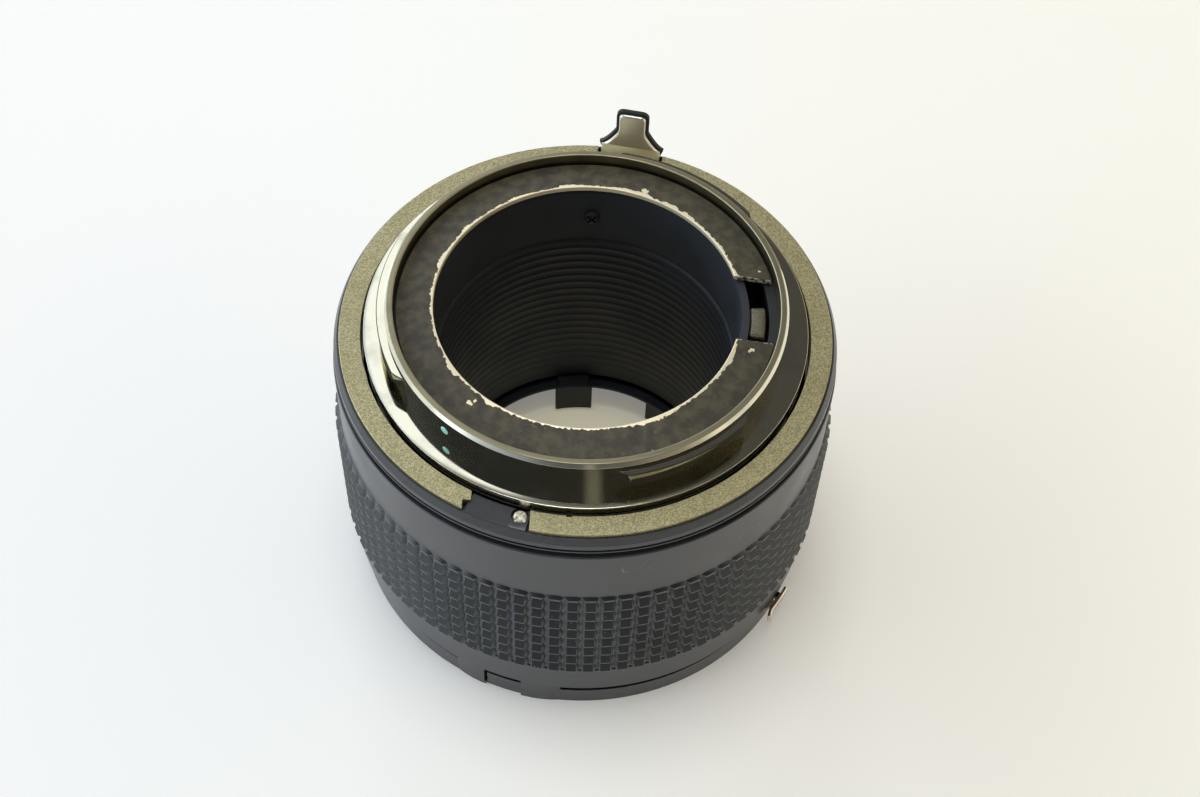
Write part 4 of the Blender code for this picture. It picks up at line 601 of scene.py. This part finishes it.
PLATE_IN_R, PLATE_R, PLATE_FOOT_Z, PLATE_TOP_Z = 28.5, 31.2, 41.5, 42.4
THROUGH_Z = (41, 43)
CLAW_AZ = 81.0
plate = turn_ring("plate", [
    (PLATE_R, PLATE_TOP_Z, 0.1), (PLATE_R, PLATE_FOOT_Z, 0.05),
    (PLATE_IN_R, PLATE_FOOT_Z, 0.05), (PLATE_IN_R, PLATE_TOP_Z, 0.1)], olive_blast)
cut(plate, block_tool((-12.5, -5.4), (-34, -22), THROUGH_Z, olive_blast))
cut(plate, block_tool((-13.5, -12.2), (-34, -26.95), THROUGH_Z, olive_blast))
cut(plate, block_tool((29.35, 34), (-4.46, 4.46), THROUGH_Z, olive_blast, CLAW_AZ))
cut(plate, piece_from("nick", arc_block(28.3, 28.75, *THROUGH_Z, -92.4, -91.0), olive_blast))
fit(plate, "aperture_coupling", "blasted_olive", "rear_plate")


# Coupling claw
# Pressed from nickel-plated sheet: a foot in the plate's recess, and an upright that bends out to
# a rim all round. The rim carries a painted dark reflection, and a painted highlight makes the foot paler.

CLAW_BASE_Z, WING_Z, NECK_Z, CLAW_TOP_Z = 0.35, 1.7, 4.5, 8.0
BASE_HALF, WING_HALF, HEAD_HALF, HEAD_ROUND = 3.95, 4.4, 2.2, 0.95
SHEET, RIM_DEPTH, FOLD = 0.45, 1.0, 0.7


def claw_path(inset):
    """Outline of the upright at one inset: foot, wing, neck and rounded head, then its mirror image."""
    half, wing, wing_z = HEAD_HALF - inset, WING_HALF - inset, WING_Z - 0.3 * inset
    top, corner = CLAW_TOP_Z - inset, HEAD_ROUND - 0.8 * inset
    right = [(BASE_HALF - inset, CLAW_BASE_Z + inset), (wing, wing_z)]
    for step in range(1, 10):
        share = step / 10
        right.append((wing + (half - wing) * share ** 0.8, wing_z + (NECK_Z - WING_Z) * share ** 1.15))
    right.append((half, NECK_Z + 0.3 * inset))
    for step in range(7):
        angle = pi / 2 * step / 6
        right.append((half - corner + corner * cos(angle), top - corner + corner * sin(angle)))
    return right + [(-x, z) for x, z in reversed(right)]


def claw_finish():
    """Nickel plate, with a painted highlight that makes the foot paler and a painted dark reflection on the
    rim.
    """
    finish, tree, shader, spot = begin_finish("claw_nickel")
    axes = split(tree, spot)
    facing = split(tree, lay(tree, "ShaderNodeTexCoord").outputs["Normal"])
    outward_x, outward_y = cos(radians(CLAW_AZ)), sin(radians(CLAW_AZ))
    out = plus(tree, times(tree, axes[0], outward_x), times(tree, axes[1], outward_y))
    along = minus(tree, times(tree, axes[0], outward_y), times(tree, axes[1], outward_x))
    outward = plus(tree, times(tree, facing[0], outward_x), times(tree, facing[1], outward_y))
    # Rim faces that lie outward of the upright and don't face outward become near-black, non-metallic and
    # rougher: a painted dark reflection.
    past_foot = reckon(tree, "GREATER_THAN", reckon(tree, "ABSOLUTE", along), 0.00402)
    painted_dark_rim = reckon(tree, "MAXIMUM", reckon(tree, "GREATER_THAN", axes[2], 0.0428), past_foot)
    painted_dark_rim = times(tree, painted_dark_rim, reckon(tree, "LESS_THAN", outward, 0.6))
    edge = times(tree, fade(tree, out, 0.03081, 0.03084), painted_dark_rim)
    clouds = grain(tree, spot, 240.0, 2.0)
    nickel = tint(tree, fade(tree, clouds, 0.3, 0.7), (0.80, 0.77, 0.69, 1.0), (0.66, 0.62, 0.54, 1.0))
    # Below the upright the nickel is paler and creamier: a painted highlight on the foot.
    nickel = tint(tree, fade(tree, axes[2], 0.04335, 0.04350), (1.0, 0.96, 0.82, 1.0), nickel)
    tree.links.new(tint(tree, edge, nickel, (0.007, 0.010, 0.009, 1.0)), shader.inputs["Base Color"])
    tree.links.new(fade(tree, edge, 0.0, 1.0, 1.0, 0.0), shader.inputs["Metallic"])
    rough = plus(tree, fade(tree, clouds, 0.3, 0.7, 0.30, 0.38), times(tree, edge, 0.3))
    tree.links.new(rough, shader.inputs["Roughness"])
    relief(tree, shader, grain(tree, spot, 3000.0, 2.0), 0.06, 0.00003)
    return finish


claw_nickel = claw_finish()
sections = [(FOLD, 0.0), (0.60, 0.03), (0.51, 0.10), (0.45, 0.20), (0.42, 0.32), (0.37, 0.37), (0.06, 0.44),
            (0.0, 0.52), (0.0, RIM_DEPTH), (SHEET, RIM_DEPTH), (SHEET, FOLD)]
for step in range(1, 4):
    angle = pi / 2 * (1 - step / 3)
    sections.append((FOLD - (FOLD - SHEET) * sin(angle), FOLD - (FOLD - SHEET) * cos(angle)))
form = bmesh.new()
skin(form, [[form.verts.new((x * MM, z * MM, depth * MM)) for x, z in claw_path(inset)]
            for inset, depth in sections])
claw = piece_from("claw", form, claw_nickel)
foot_section = [(-0.95, 0.0), (-0.95, 0.45), (-0.62, 0.47), (-0.42, 0.58), (-0.33, 0.78), (-0.06, 1.86),
                (0.06, 2.0), (0.55, 1.2), (0.55, 0.5), (0.45, 0.15), (0.1, 0.0)]
foot = bmesh.new()
skin(foot, [[foot.verts.new((x * MM, z * MM, depth * MM)) for depth, z in foot_section]
            for x in (-4.0, -3.9, 3.9, 4.0)])
cut(claw, piece_from("foot", foot, claw_nickel), "UNION")
upright = Matrix.Rotation(radians(90), 4, "Z") @ Matrix.Rotation(radians(90), 4, "X")
foot_place = Matrix.Translation((30.5 * MM, 0, PLATE_FOOT_Z * MM))
claw.data.transform(Matrix.Rotation(radians(CLAW_AZ), 4, "Z") @ foot_place @ upright)
fit(claw, "aperture_coupling", "nickel_sheet", "coupling_claw")


# Barrel
# Outer barrel of turned aluminium, dyed satin black: a thin lip, a dark groove, a smooth band, the
# seat of the rubber and a foot band. Years in a bag have left hairline scuffs on the band.

barrel_black = black_finish("barrel_black", (0.036, 0.038, 0.042), (0.044, 0.046, 0.051), 0.32, 0.4, 0.6)
BARREL_R, LIP_R, GROOVE_FLOOR_R, SEAT_R, BARREL_IN_R, MOUTH_IN_R = 32.2, 32.0, 31.4, 31.0, 30.2, 30.7
FOOT_Z, GRIP_FOOT_Z, GRIP_TOP_Z, BAND_TOP_Z, LIP_FOOT_Z, LIP_TOP_Z = 5.1, 10.2, 29.6, 38.75, 39.66, 39.9
barrel = turn_ring("barrel", [
    (31.8, LIP_TOP_Z, 0), (LIP_R, LIP_TOP_Z, 0.04), (LIP_R, LIP_FOOT_Z, 0.05),
    (GROOVE_FLOOR_R, LIP_FOOT_Z, 0.04), (GROOVE_FLOOR_R, BAND_TOP_Z, 0.04), (BARREL_R, BAND_TOP_Z, 0.18),
    (BARREL_R, GRIP_TOP_Z, 0.06), (SEAT_R, GRIP_TOP_Z, 0), (SEAT_R, GRIP_FOOT_Z, 0),
    (BARREL_R, GRIP_FOOT_Z, 0.08), (32.17, FOOT_Z, 0.05), (31.3, FOOT_Z, 0.05), (31.3, 8.8, 0),
    (BARREL_IN_R, 8.8, 0), (BARREL_IN_R, 37.7, 0), (MOUTH_IN_R, 37.7, 0), (MOUTH_IN_R, 40.0, 0)],
    barrel_black)
fit(barrel, "tube_body", "satin_black", "barrel_shell")


# Rubber grip
# Moulded rubber band stretched into its seat: ninety-two ribs round the barrel, each cut into eight
# knobs, with a shorter and lower one at the top. Dust specks lie scattered over it, and painted
# shade darkens the faces that turn upwards.

KNOB_COLUMNS, KNOB_ROWS = 92, 8
GROOVE_R, KNOB_TALL = 32.06, 0.9
KNOBS_FOOT_Z, KNOBS_TOP_Z, TOP_KNOB_LONG = 10.45, 28.65, 0.75


def rubber_finish():
    """Grey-black rubber with scattered dust specks, and painted shade on the faces that turn upwards."""
    finish, tree, shader, spot = begin_finish("grip_rubber")
    clouds = grain(tree, spot, 160.0, 4.0)
    colour = tint(tree, fade(tree, clouds, 0.3, 0.7), (0.066, 0.074, 0.078, 1.0), (0.096, 0.106, 0.110, 1.0))
    upward = split(tree, lay(tree, "ShaderNodeTexCoord").outputs["Normal"])[2]
    # Faces turned upwards get a darker colour: painted shade on the knobs' upper faces.
    colour = tint(tree, fade(tree, upward, 0.18, 0.45), colour, (0.030, 0.032, 0.034, 1.0))
    dust = lay(tree, "ShaderNodeTexVoronoi", {"Vector": spot, "Scale": 1500.0}).outputs["Distance"]
    some = fade(tree, grain(tree, spot, 330.0, 2.0), 0.52, 0.66)
    speck = times(tree, fade(tree, dust, 0.10, 0.20, 0.6, 0.0), some)
    tree.links.new(tint(tree, speck, colour, (0.28, 0.30, 0.29, 1.0)), shader.inputs["Base Color"])
    tree.links.new(fade(tree, clouds, 0.3, 0.7, 0.28, 0.38), shader.inputs["Roughness"])
    relief(tree, shader, grain(tree, spot, 3600.0, 3.0), 0.16, 0.00005)
    return finish


def plain_input(tree, name, kind, default=None):
    """Named input of a Geometry Nodes tree."""
    socket = tree.interface.new_socket(name, in_out="INPUT", socket_type=kind)
    if default is not None:
        socket.default_value = default
    return socket


def knob_tree():
    """One knob on a grid of 4 by 4 points: a blunt pyramid whose tip sits towards its lower end."""
    tree = bpy.data.node_groups.new("Grip knob", "GeometryNodeTree")
    tree.interface.new_socket("Geometry", in_out="OUTPUT", socket_type="NodeSocketGeometry")
    for name in ("Half length", "Half width", "Height", "Tip start", "Tip end", "Tip width"):
        plain_input(tree, name, "NodeSocketFloat")
    sizes = tree.nodes.new("NodeGroupInput").outputs
    sheet = lay(tree, "GeometryNodeMeshGrid", {"Size X": 2.0, "Size Y": 2.0,
                                               "Vertices X": 4, "Vertices Y": 4})
    spot = split(tree, lay(tree, "GeometryNodeInputPosition").outputs[0])
    is_end = reckon(tree, "GREATER_THAN", reckon(tree, "ABSOLUTE", spot[0]), 0.6)
    is_side = reckon(tree, "GREATER_THAN", reckon(tree, "ABSOLUTE", spot[1]), 0.6)
    is_low = reckon(tree, "GREATER_THAN", spot[0], 0.0)
    tip = fade(tree, is_low, 0.0, 1.0, sizes["Tip start"], sizes["Tip end"])
    share = fade(tree, is_end, 0.0, 1.0, tip, reckon(tree, "SIGN", spot[0]))
    along = times(tree, share, sizes["Half length"])
    spread = times(tree, fade(tree, is_side, 0.0, 1.0, sizes["Tip width"], 1.0), sizes["Half width"])
    across = times(tree, reckon(tree, "SIGN", spot[1]), spread)
    on_tip = times(tree, minus(tree, 1.0, is_end), minus(tree, 1.0, is_side))
    rise = times(tree, on_tip, sizes["Height"])
    place = lay(tree, "ShaderNodeCombineXYZ", {0: along, 1: across, 2: rise}).outputs[0]
    shaped = lay(tree, "GeometryNodeSetPosition", {"Geometry": sheet.outputs["Mesh"], "Position": place})
    out = tree.nodes.new("NodeGroupOutput")
    tree.links.new(shaped.outputs[0], out.inputs[0])
    return tree


def grip_tree():
    """Knobs in rows and columns round a ring, and one shorter, lower knob above each column."""
    tree = bpy.data.node_groups.new("Rubber grip", "GeometryNodeTree")
    tree.interface.new_socket("Geometry", in_out="OUTPUT", socket_type="NodeSocketGeometry")
    plain_input(tree, "Ring", "NodeSocketGeometry")
    plain_input(tree, "Columns", "NodeSocketInt", 12)
    plain_input(tree, "Rows", "NodeSocketInt", 2)
    for name in ("Groove radius", "Knob height", "Low", "High", "Top length"):
        plain_input(tree, name, "NodeSocketFloat")
    plain_input(tree, "Finish", "NodeSocketMaterial")
    sizes = tree.nodes.new("NodeGroupInput").outputs
    knob = knob_tree()
    pitch = reckon(tree, "DIVIDE", minus(tree, sizes["High"], sizes["Low"]), sizes["Rows"])
    half_width = reckon(tree, "DIVIDE", times(tree, sizes["Groove radius"], 0.97 * pi), sizes["Columns"])
    parts = [sizes["Ring"]]
    for is_top in (False, True):
        half_length = times(tree, sizes["Top length"] if is_top else pitch, 0.5)
        shape = lay(tree, "GeometryNodeGroup", node_tree=knob)
        for name, value in {"Half length": half_length, "Half width": half_width,
                            "Height": times(tree, sizes["Knob height"], 0.5 if is_top else 1.0),
                            "Tip start": -0.3 if is_top else 0.16, "Tip end": 0.7 if is_top else 0.34,
                            "Tip width": 0.6}.items():
            if isinstance(value, bpy.types.NodeSocket):
                tree.links.new(value, shape.inputs[name])
            else:
                shape.inputs[name].default_value = value
        count = sizes["Columns"] if is_top else times(tree, sizes["Columns"], sizes["Rows"])
        order = lay(tree, "GeometryNodeInputIndex").outputs[0]
        column = reckon(tree, "MODULO", order, sizes["Columns"])
        angle = reckon(tree, "DIVIDE", times(tree, column, 2 * pi), sizes["Columns"])
        if is_top:
            level = plus(tree, sizes["High"], half_length)
        else:
            row = reckon(tree, "FLOOR", reckon(tree, "DIVIDE", order, sizes["Columns"]))
            level = plus(tree, sizes["Low"], times(tree, plus(tree, row, 0.5), pitch))
        across = times(tree, reckon(tree, "COSINE", angle), sizes["Groove radius"])
        deep = times(tree, reckon(tree, "SINE", angle), sizes["Groove radius"])
        spot = lay(tree, "ShaderNodeCombineXYZ", {0: across, 1: deep, 2: level}).outputs[0]
        facing = lay(tree, "ShaderNodeCombineXYZ", {1: pi / 2, 2: angle}).outputs[0]
        points = lay(tree, "GeometryNodePoints", {"Count": count, "Position": spot}).outputs[0]
        turned = lay(tree, "GeometryNodeStoreNamedAttribute",
                     {"Geometry": points, "Name": "facing", "Value": facing},
                     data_type="FLOAT_VECTOR", domain="POINT").outputs[0]
        kept = lay(tree, "GeometryNodeInputNamedAttribute", {"Name": "facing"}, data_type="FLOAT_VECTOR")
        parts.append(lay(tree, "GeometryNodeInstanceOnPoints", {
            "Points": turned, "Instance": shape.outputs[0], "Rotation": kept.outputs[0]}).outputs[0])
    joined = lay(tree, "GeometryNodeJoinGeometry")
    for part in parts:
        tree.links.new(part, joined.inputs[0])
    real = lay(tree, "GeometryNodeRealizeInstances", {"Geometry": joined.outputs[0]})
    coated = lay(tree, "GeometryNodeSetMaterial", {"Geometry": real.outputs[0], "Material": sizes["Finish"]})
    out = tree.nodes.new("NodeGroupOutput")
    tree.links.new(coated.outputs[0], out.inputs[0])
    return tree


def grow(piece, tree, sizes):
    """Runs a Geometry Nodes tree on a piece and keeps the result as its plain mesh."""
    growth = piece.modifiers.new(tree.name, "NODES")
    growth.node_group = tree
    for item in tree.interface.items_tree:
        if item.item_type == "SOCKET" and item.in_out == "INPUT" and item.name in sizes:
            growth[item.identifier] = sizes[item.name]
    settle(piece)


grip_rubber = rubber_finish()
band_foot, band_top = GRIP_FOOT_Z + 0.15, GRIP_TOP_Z - 0.15
grip = turn_ring("grip", [
    (GROOVE_R + 0.03, band_top, 0.1), (GROOVE_R + 0.03, band_foot, 0.1),
    (SEAT_R + 0.02, band_foot, 0), (SEAT_R + 0.02, band_top, 0)], grip_rubber, 2 * KNOB_COLUMNS)
grow(grip, grip_tree(), {"Columns": KNOB_COLUMNS, "Rows": KNOB_ROWS, "Groove radius": GROOVE_R * MM,
                         "Knob height": KNOB_TALL * MM, "Low": KNOBS_FOOT_Z * MM, "High": KNOBS_TOP_Z * MM,
                         "Top length": TOP_KNOB_LONG * MM, "Finish": grip_rubber})
fit(grip, "tube_body", "black_rubber", "rubber_grip")


# Lens-end coupling ring
# Satin black ring that turns under the barrel's foot. It has a slit and a raised pad on each side of
# it at the front, a channel round its side, and a long slot on top where the release comes out.

FOOT_R, CHANNEL_R, CHANNEL_FLOOR_R, SPIGOT_R = 31.5, 31.42, 31.0, 29.0
follower = turn_ring("follower", [
    (CHANNEL_FLOOR_R, 6.4, 0.05), (CHANNEL_FLOOR_R, 2.0, 0), (CHANNEL_R, 2.0, 0), (CHANNEL_R, 3.16, 0),
    (FOOT_R, 3.12, 0.02), (FOOT_R, 0.0, 0.12), (29.4, 0.0, 0.1), (29.4, 4.3, 0),
    (SPIGOT_R, 4.3, 0), (SPIGOT_R, 6.4, 0)], satin_black)


def swelling(start, end, tall):
    """Pad on the ring's side that rises from its start and stops square at its end."""
    form = bmesh.new()
    loops = []
    for step in range(13):
        share = step / 12
        outer = FOOT_R - 0.05 + tall * min(1.0, 1.6 * share) ** 0.6
        azimuth = start + (end - start) * share
        loops.append([form.verts.new(polar(r, azimuth, z) * MM) for r, z in (
            (31.2, 0.1), (outer - 0.1, 0.0), (outer, 0.12), (outer, 4.6), (31.2, 4.7))])
    skin(form, loops)
    return piece_from("pad", form, satin_black)


for start, end in ((-119.5, -111.4), (-92.5, -102.2)):
    cut(follower, swelling(start, end, 0.32), "UNION")
filling = arc_block(CHANNEL_FLOOR_R - 0.1, FOOT_R - 0.05, 1.7, 4.5, -205, -118.5, 0.0, 60)
cut(follower, piece_from("fill", filling, satin_black), "UNION")
release_slot = (28.7, 32.5, 4.3, 6.7, -89, -25)
slit, slit_top = (31.0, 32.5, 0.9, 4.0, -111.7, -111.1), (31.25, 32.5, 3.3, 4.9, -111.2, -110.75)
for opening in (release_slot, slit, slit_top):
    cut(follower, piece_from("tool", arc_block(*opening), satin_black))
# The channel's faces take the darker, duller inside finish: painted shade in the gap under the barrel's foot
# band.
follower.data.materials.append(inside_black)
for face in follower.data.polygons:
    face.material_index = int(30.9 < face.center.xy.length / MM < 31.43 and face.center.z / MM > 1.9)
fit(follower, "aperture_coupling", "satin_black", "coupling_ring")


# Lens mount
# Chromed socket at the lens end: three inner lugs with a leaf spring behind each, which press the
# lens up to its seat, and five cross-recessed screws sunk in the face.

socket_chrome = chrome_finish("socket_chrome", (0.72, 0.70, 0.62), 0.12, 0.10)
SOCKET_R, SOCKET_IN_R, SOCKET_LUG_R, SEAT_Z, SOCKET_TOP_Z = 29.1, 26.6, 25.4, 0.8, 3.9
socket = turn_ring("lens_socket", [
    (SOCKET_R, SOCKET_TOP_Z, 0.1), (SOCKET_R, SEAT_Z, 0.12),
    (SOCKET_IN_R, SEAT_Z, 0.12), (SOCKET_IN_R, SOCKET_TOP_Z, 0.1)], socket_chrome)
for start, end in ((5, 62), (125, 182), (245, 302)):
    lug = arc_block(SOCKET_LUG_R, SOCKET_IN_R + 0.3, SEAT_Z, SEAT_Z + 1.3, start, end, 0.12, 48)
    cut(socket, piece_from("lug", lug, socket_chrome), "UNION")
SCREW_COUNT, SINK_R, PAWL_HALF = 5, 1.14, 0.75
mount_screw_names = [f"lens_mount_screw_{number}" for number in range(1, SCREW_COUNT + 1)]
for name in mount_screw_names:
    low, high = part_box(name)
    centre = (low + high) / 2 / MM
    cut(socket, hole_tool(Vector((centre.x, centre.y, SEAT_Z + 0.1)), SINK_R, 1.0, socket_chrome))
low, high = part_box("lock_pawl")
centre = (low + high) / 2 / MM
inner_end = centre.xy.length - PAWL_HALF
cut(socket, block_tool((inner_end, 29.6), (-PAWL_HALF, PAWL_HALF), (0.5, 4.2), socket_chrome,
                       degrees(atan2(centre.y, centre.x))))
fit(socket, "tube_body", "bright_chrome", "lens_mount_ring")
for number in (1, 2, 3):
    cad[f"leaf_spring_{number}"].material_slots[0].material = plain_steel


def ring_of_screws():
    """Copies of one screw head at even angles on a pitch circle."""
    tree = bpy.data.node_groups.new("Screws on a circle", "GeometryNodeTree")
    tree.interface.new_socket("Geometry", in_out="OUTPUT", socket_type="NodeSocketGeometry")
    plain_input(tree, "Screw", "NodeSocketGeometry")
    plain_input(tree, "Count", "NodeSocketInt", 3)
    for name in ("Pitch radius", "First angle", "Level"):
        plain_input(tree, name, "NodeSocketFloat")
    plain_input(tree, "Finish", "NodeSocketMaterial")
    sizes = tree.nodes.new("NodeGroupInput").outputs
    order = lay(tree, "GeometryNodeInputIndex").outputs[0]
    step = reckon(tree, "DIVIDE", 2 * pi, sizes["Count"])
    angle = plus(tree, times(tree, order, step), sizes["First angle"])
    spot = lay(tree, "ShaderNodeCombineXYZ", {
        0: times(tree, reckon(tree, "COSINE", angle), sizes["Pitch radius"]),
        1: times(tree, reckon(tree, "SINE", angle), sizes["Pitch radius"]),
        2: sizes["Level"]}).outputs[0]
    points = lay(tree, "GeometryNodePoints", {"Count": sizes["Count"], "Position": spot}).outputs[0]
    placed = lay(tree, "GeometryNodeInstanceOnPoints", {"Points": points, "Instance": sizes["Screw"]})
    real = lay(tree, "GeometryNodeRealizeInstances", {"Geometry": placed.outputs[0]})
    coated = lay(tree, "GeometryNodeSetMaterial", {"Geometry": real.outputs[0], "Material": sizes["Finish"]})
    tree.links.new(coated.outputs[0], tree.nodes.new("NodeGroupOutput").inputs[0])
    return tree


HEAD_TALL, PITCH_R, FIRST_AZ = 0.62, 27.85, -20.0
heads = turned_screw("mount_screws", (0, 0, HEAD_TALL), (0, 0, 0), 1.0, 0.25, plain_steel, 0.26)
grow(heads, ring_of_screws(), {"Count": SCREW_COUNT, "Pitch radius": PITCH_R * MM,
                               "First angle": radians(FIRST_AZ), "Level": (SEAT_Z + 0.02) * MM,
                               "Finish": plain_steel})
fit(heads, "tube_body", "plain_steel", *mount_screw_names)


# Lens-end baffle plate
# Blackened sheet ring over the lens end of the bore, with one tongue bent down into the throat.

low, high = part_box("end_baffle")
sheet_top = high.z / MM
SHEET_R, THROAT_R, TONGUE_AZ = 24.2, 17.9, (40, 60)
sheet_foot = sheet_top - 0.5
end_sheet = turn_ring("end_sheet", [
    (SHEET_R, sheet_top, 0.08), (SHEET_R, sheet_foot, 0.08),
    (THROAT_R, sheet_foot, 0.08), (THROAT_R, sheet_top, 0.08)], baffle_black)
tongue = arc_block(THROAT_R + 0.1, THROAT_R + 0.6, 0.4, sheet_top - 0.2, *TONGUE_AZ, 0.1, 20)
cut(end_sheet, piece_from("tongue", tongue, baffle_black), "UNION")
fit(end_sheet, "tube_body", "satin_black", "end_baffle")


# Lens release
# Flat nickelled rocker under the tube's foot flange. It comes out through the ring's slot and ends
# in an upright strip, its pawl locks the lens, and a bent wire spring pushes the strip back out.

tab_nickel = steel_finish("tab_nickel", (0.80, 0.70, 0.58), 0.16)
rocker_form = bmesh.new()
rocker_form.from_mesh(cad["release_lever"].data)
bmesh.ops.remove_doubles(rocker_form, verts=rocker_form.verts, dist=1e-6)
rocker = piece_from("rocker", rocker_form, tab_nickel)
cut(rocker, piece_from("tool", arc_block(32.3, 37, 2.5, 6, -46, -20), tab_nickel))
STRIP_R, STRIP_FOOT_Z, STRIP_T, STRIP_FLAT, STRIP_BENT = 32.8, 3.2, 0.48, (-27.4, -34.2), 2.2
low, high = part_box("release_lever")
tab_top = high.z / MM
arm = arc_block(31.6, STRIP_R - 0.1, tab_top - 0.5, tab_top - 0.1, -34.6, -29.4, 0.05, 10)
cut(rocker, piece_from("arm", arm, tab_nickel), "UNION")
first, last = STRIP_FLAT
strip_path = [polar(STRIP_R, azimuth) for azimuth in (first, -28.2, -29.8, -31.4, -33.0, last)]
strip_path += [polar(STRIP_R + 0.5 * share ** 2, last - STRIP_BENT * share) for share in (0.35, 0.7, 1.0)]
strip = bmesh.new()
strip_loops = []
for index, here in enumerate(strip_path):
    ahead = strip_path[min(index + 1, len(strip_path) - 1)] - strip_path[max(index - 1, 0)]
    side = Vector((ahead.y, -ahead.x, 0)).normalized() * STRIP_T / 2
    foot_z = STRIP_FOOT_Z + (0.7 if index == 0 else 0.0)
    strip_loops.append([strip.verts.new((here + offset + Vector((0, 0, z))) * MM) for offset, z in (
        (-side, foot_z), (side, foot_z), (side, tab_top - 0.1),
        (0.5 * side, tab_top), (-0.5 * side, tab_top), (-side, tab_top - 0.1))])
skin(strip, strip_loops)
cut(rocker, piece_from("strip", strip, tab_nickel), "UNION")
fit(rocker, "lens_release", "nickel_sheet", "release_lever")
for name in ("lock_pawl", "release_pivot", "release_post", "release_spring"):
    cad[name].material_slots[0].material = plain_steel


# Floor, light and camera
# A white table top under soft daylight from windows at both sides, brighter and cooler at the left.
# The ceiling is dim, and it is dark towards the camera.

floor_form = bmesh.new()
bmesh.ops.create_grid(floor_form, x_segments=2, y_segments=2, size=3.0)
white_top, tree, shader, spot = begin_finish("white_top")
axes = split(tree, spot)
# The top is warmer towards the right: painted warm light.
tone = tint(tree, fade(tree, axes[0], -0.08, 0.10), (0.90, 0.90, 0.88, 1.0), (0.91, 0.87, 0.76, 1.0))
tone = tint(tree, fade(tree, grain(tree, spot, 9.0, 2.0), 0.3, 0.7, 0.0, 0.03), tone, (0.8, 0.8, 0.8, 1.0))
tree.links.new(tone, shader.inputs["Base Color"])
shader.inputs["Roughness"].default_value = 0.75
shader.inputs["Specular IOR Level"].default_value = 0.25
seen = lay(tree, "ShaderNodeLightPath").outputs
is_seen = reckon(tree, "MAXIMUM", seen["Is Glossy Ray"], seen["Is Transmission Ray"])
is_seen = reckon(tree, "MAXIMUM", seen["Is Camera Ray"], is_seen)
from_middle = lay(tree, "ShaderNodeVectorMath", {0: spot}, operation="LENGTH").outputs["Value"]
# The lift for camera and glossy rays keeps the top evenly white; inside the bore's circle it is stronger and
# yellow, a painted pool of light under the tube.
outside_bore = (from_middle, 0.015, 0.022)
even_lift_and_painted_pool = fade(tree, *outside_bore, 0.29, 0.21)
lift_tone = tint(tree, fade(tree, *outside_bore), (1.0, 0.93, 0.60, 1.0), (1.0, 0.985, 0.95, 1.0))
lift = lay(tree, "ShaderNodeEmission", {"Color": lift_tone, "Strength": times(tree, is_seen, even_lift_and_painted_pool)})
sum_of_both = lay(tree, "ShaderNodeAddShader", {0: shader.outputs[0], 1: lift.outputs[0]})
tree.links.new(sum_of_both.outputs[0], tree.nodes["Material Output"].inputs["Surface"])
floor = piece_from("table_top", floor_form, white_top)

room = bpy.data.worlds.new("window_light")
bpy.context.scene.world = room
room.use_nodes = True
sky = room.node_tree
background = sky.nodes["Background"]
way = split(sky, lay(sky, "ShaderNodeTexCoord").outputs["Generated"])
sides = plus(sky, fade(sky, way[0], -0.75, -0.15, 2.9, 0.5), fade(sky, way[0], 0.15, 0.75, 0.0, 0.55))
windows = times(sky, fade(sky, way[2], 0.54, 0.72, 1.0, 0.0), fade(sky, way[1], -0.75, -0.25, 0.2, 1.0))
windows = times(sky, windows, sides)
ceiling = plus(sky, fade(sky, way[2], 0.87, 0.96, 0.0, 0.35), fade(sky, way[1], -0.2, 0.4, 0.03, 0.07))
pane = times(sky, fade(sky, way[0], -0.31, -0.20), fade(sky, way[0], -0.08, -0.035, 1.0, 0.0))
pane = times(sky, pane, fade(sky, way[1], 0.42, 0.50, 0.0, 1.2))
slit = fade(sky, reckon(sky, "ABSOLUTE", minus(sky, way[0], 0.078)), 0.012, 0.07, 0.14, 0.0)
slit = times(sky, slit, fade(sky, way[1], -0.30, -0.45))
level = plus(sky, plus(sky, windows, pane), plus(sky, ceiling, slit))
sky.links.new(level, background.inputs["Strength"])
tone = tint(sky, fade(sky, way[0], -0.6, 0.6), (0.86, 0.97, 1.10, 1.0), (1.10, 1.0, 0.82, 1.0))
sky.links.new(tone, background.inputs["Color"])

skylight = bpy.data.objects.new("skylight", bpy.data.lights.new("skylight", "AREA"))
skylight.data.shape, skylight.data.size, skylight.data.energy = "DISK", 0.5, 3.6
skylight.location = (-0.05, 0.10, 1.2)
skylight.rotation_euler = Vector(skylight.location).to_track_quat("Z", "Y").to_euler()
bpy.context.scene.collection.objects.link(skylight)

camera_data = bpy.data.cameras.new("camera")
camera_data.lens, camera_data.sensor_width = 54.0, 36.0
camera_data.clip_start, camera_data.clip_end = 0.01, 10.0
camera = bpy.data.objects.new("camera", camera_data)
bpy.context.scene.collection.objects.link(camera)
elevation, roll, distance = radians(54.22), radians(2.63), 0.2408
forward = Vector((0.0, cos(elevation), -sin(elevation)))
flat_right = Vector((1.0, 0.0, 0.0))
flat_up = flat_right.cross(forward)
right = flat_right * cos(roll) + flat_up * sin(roll)
up = flat_up * cos(roll) - flat_right * sin(roll)
axes_of_view = Matrix((right, up, -forward)).transposed().to_4x4()
place = Vector((0.00217, 0.0, 0.02657)) - forward * distance
camera.matrix_world = Matrix.Translation(place) @ axes_of_view
bpy.context.scene.camera = camera
bpy.context.scene.view_settings.view_transform = "Standard"
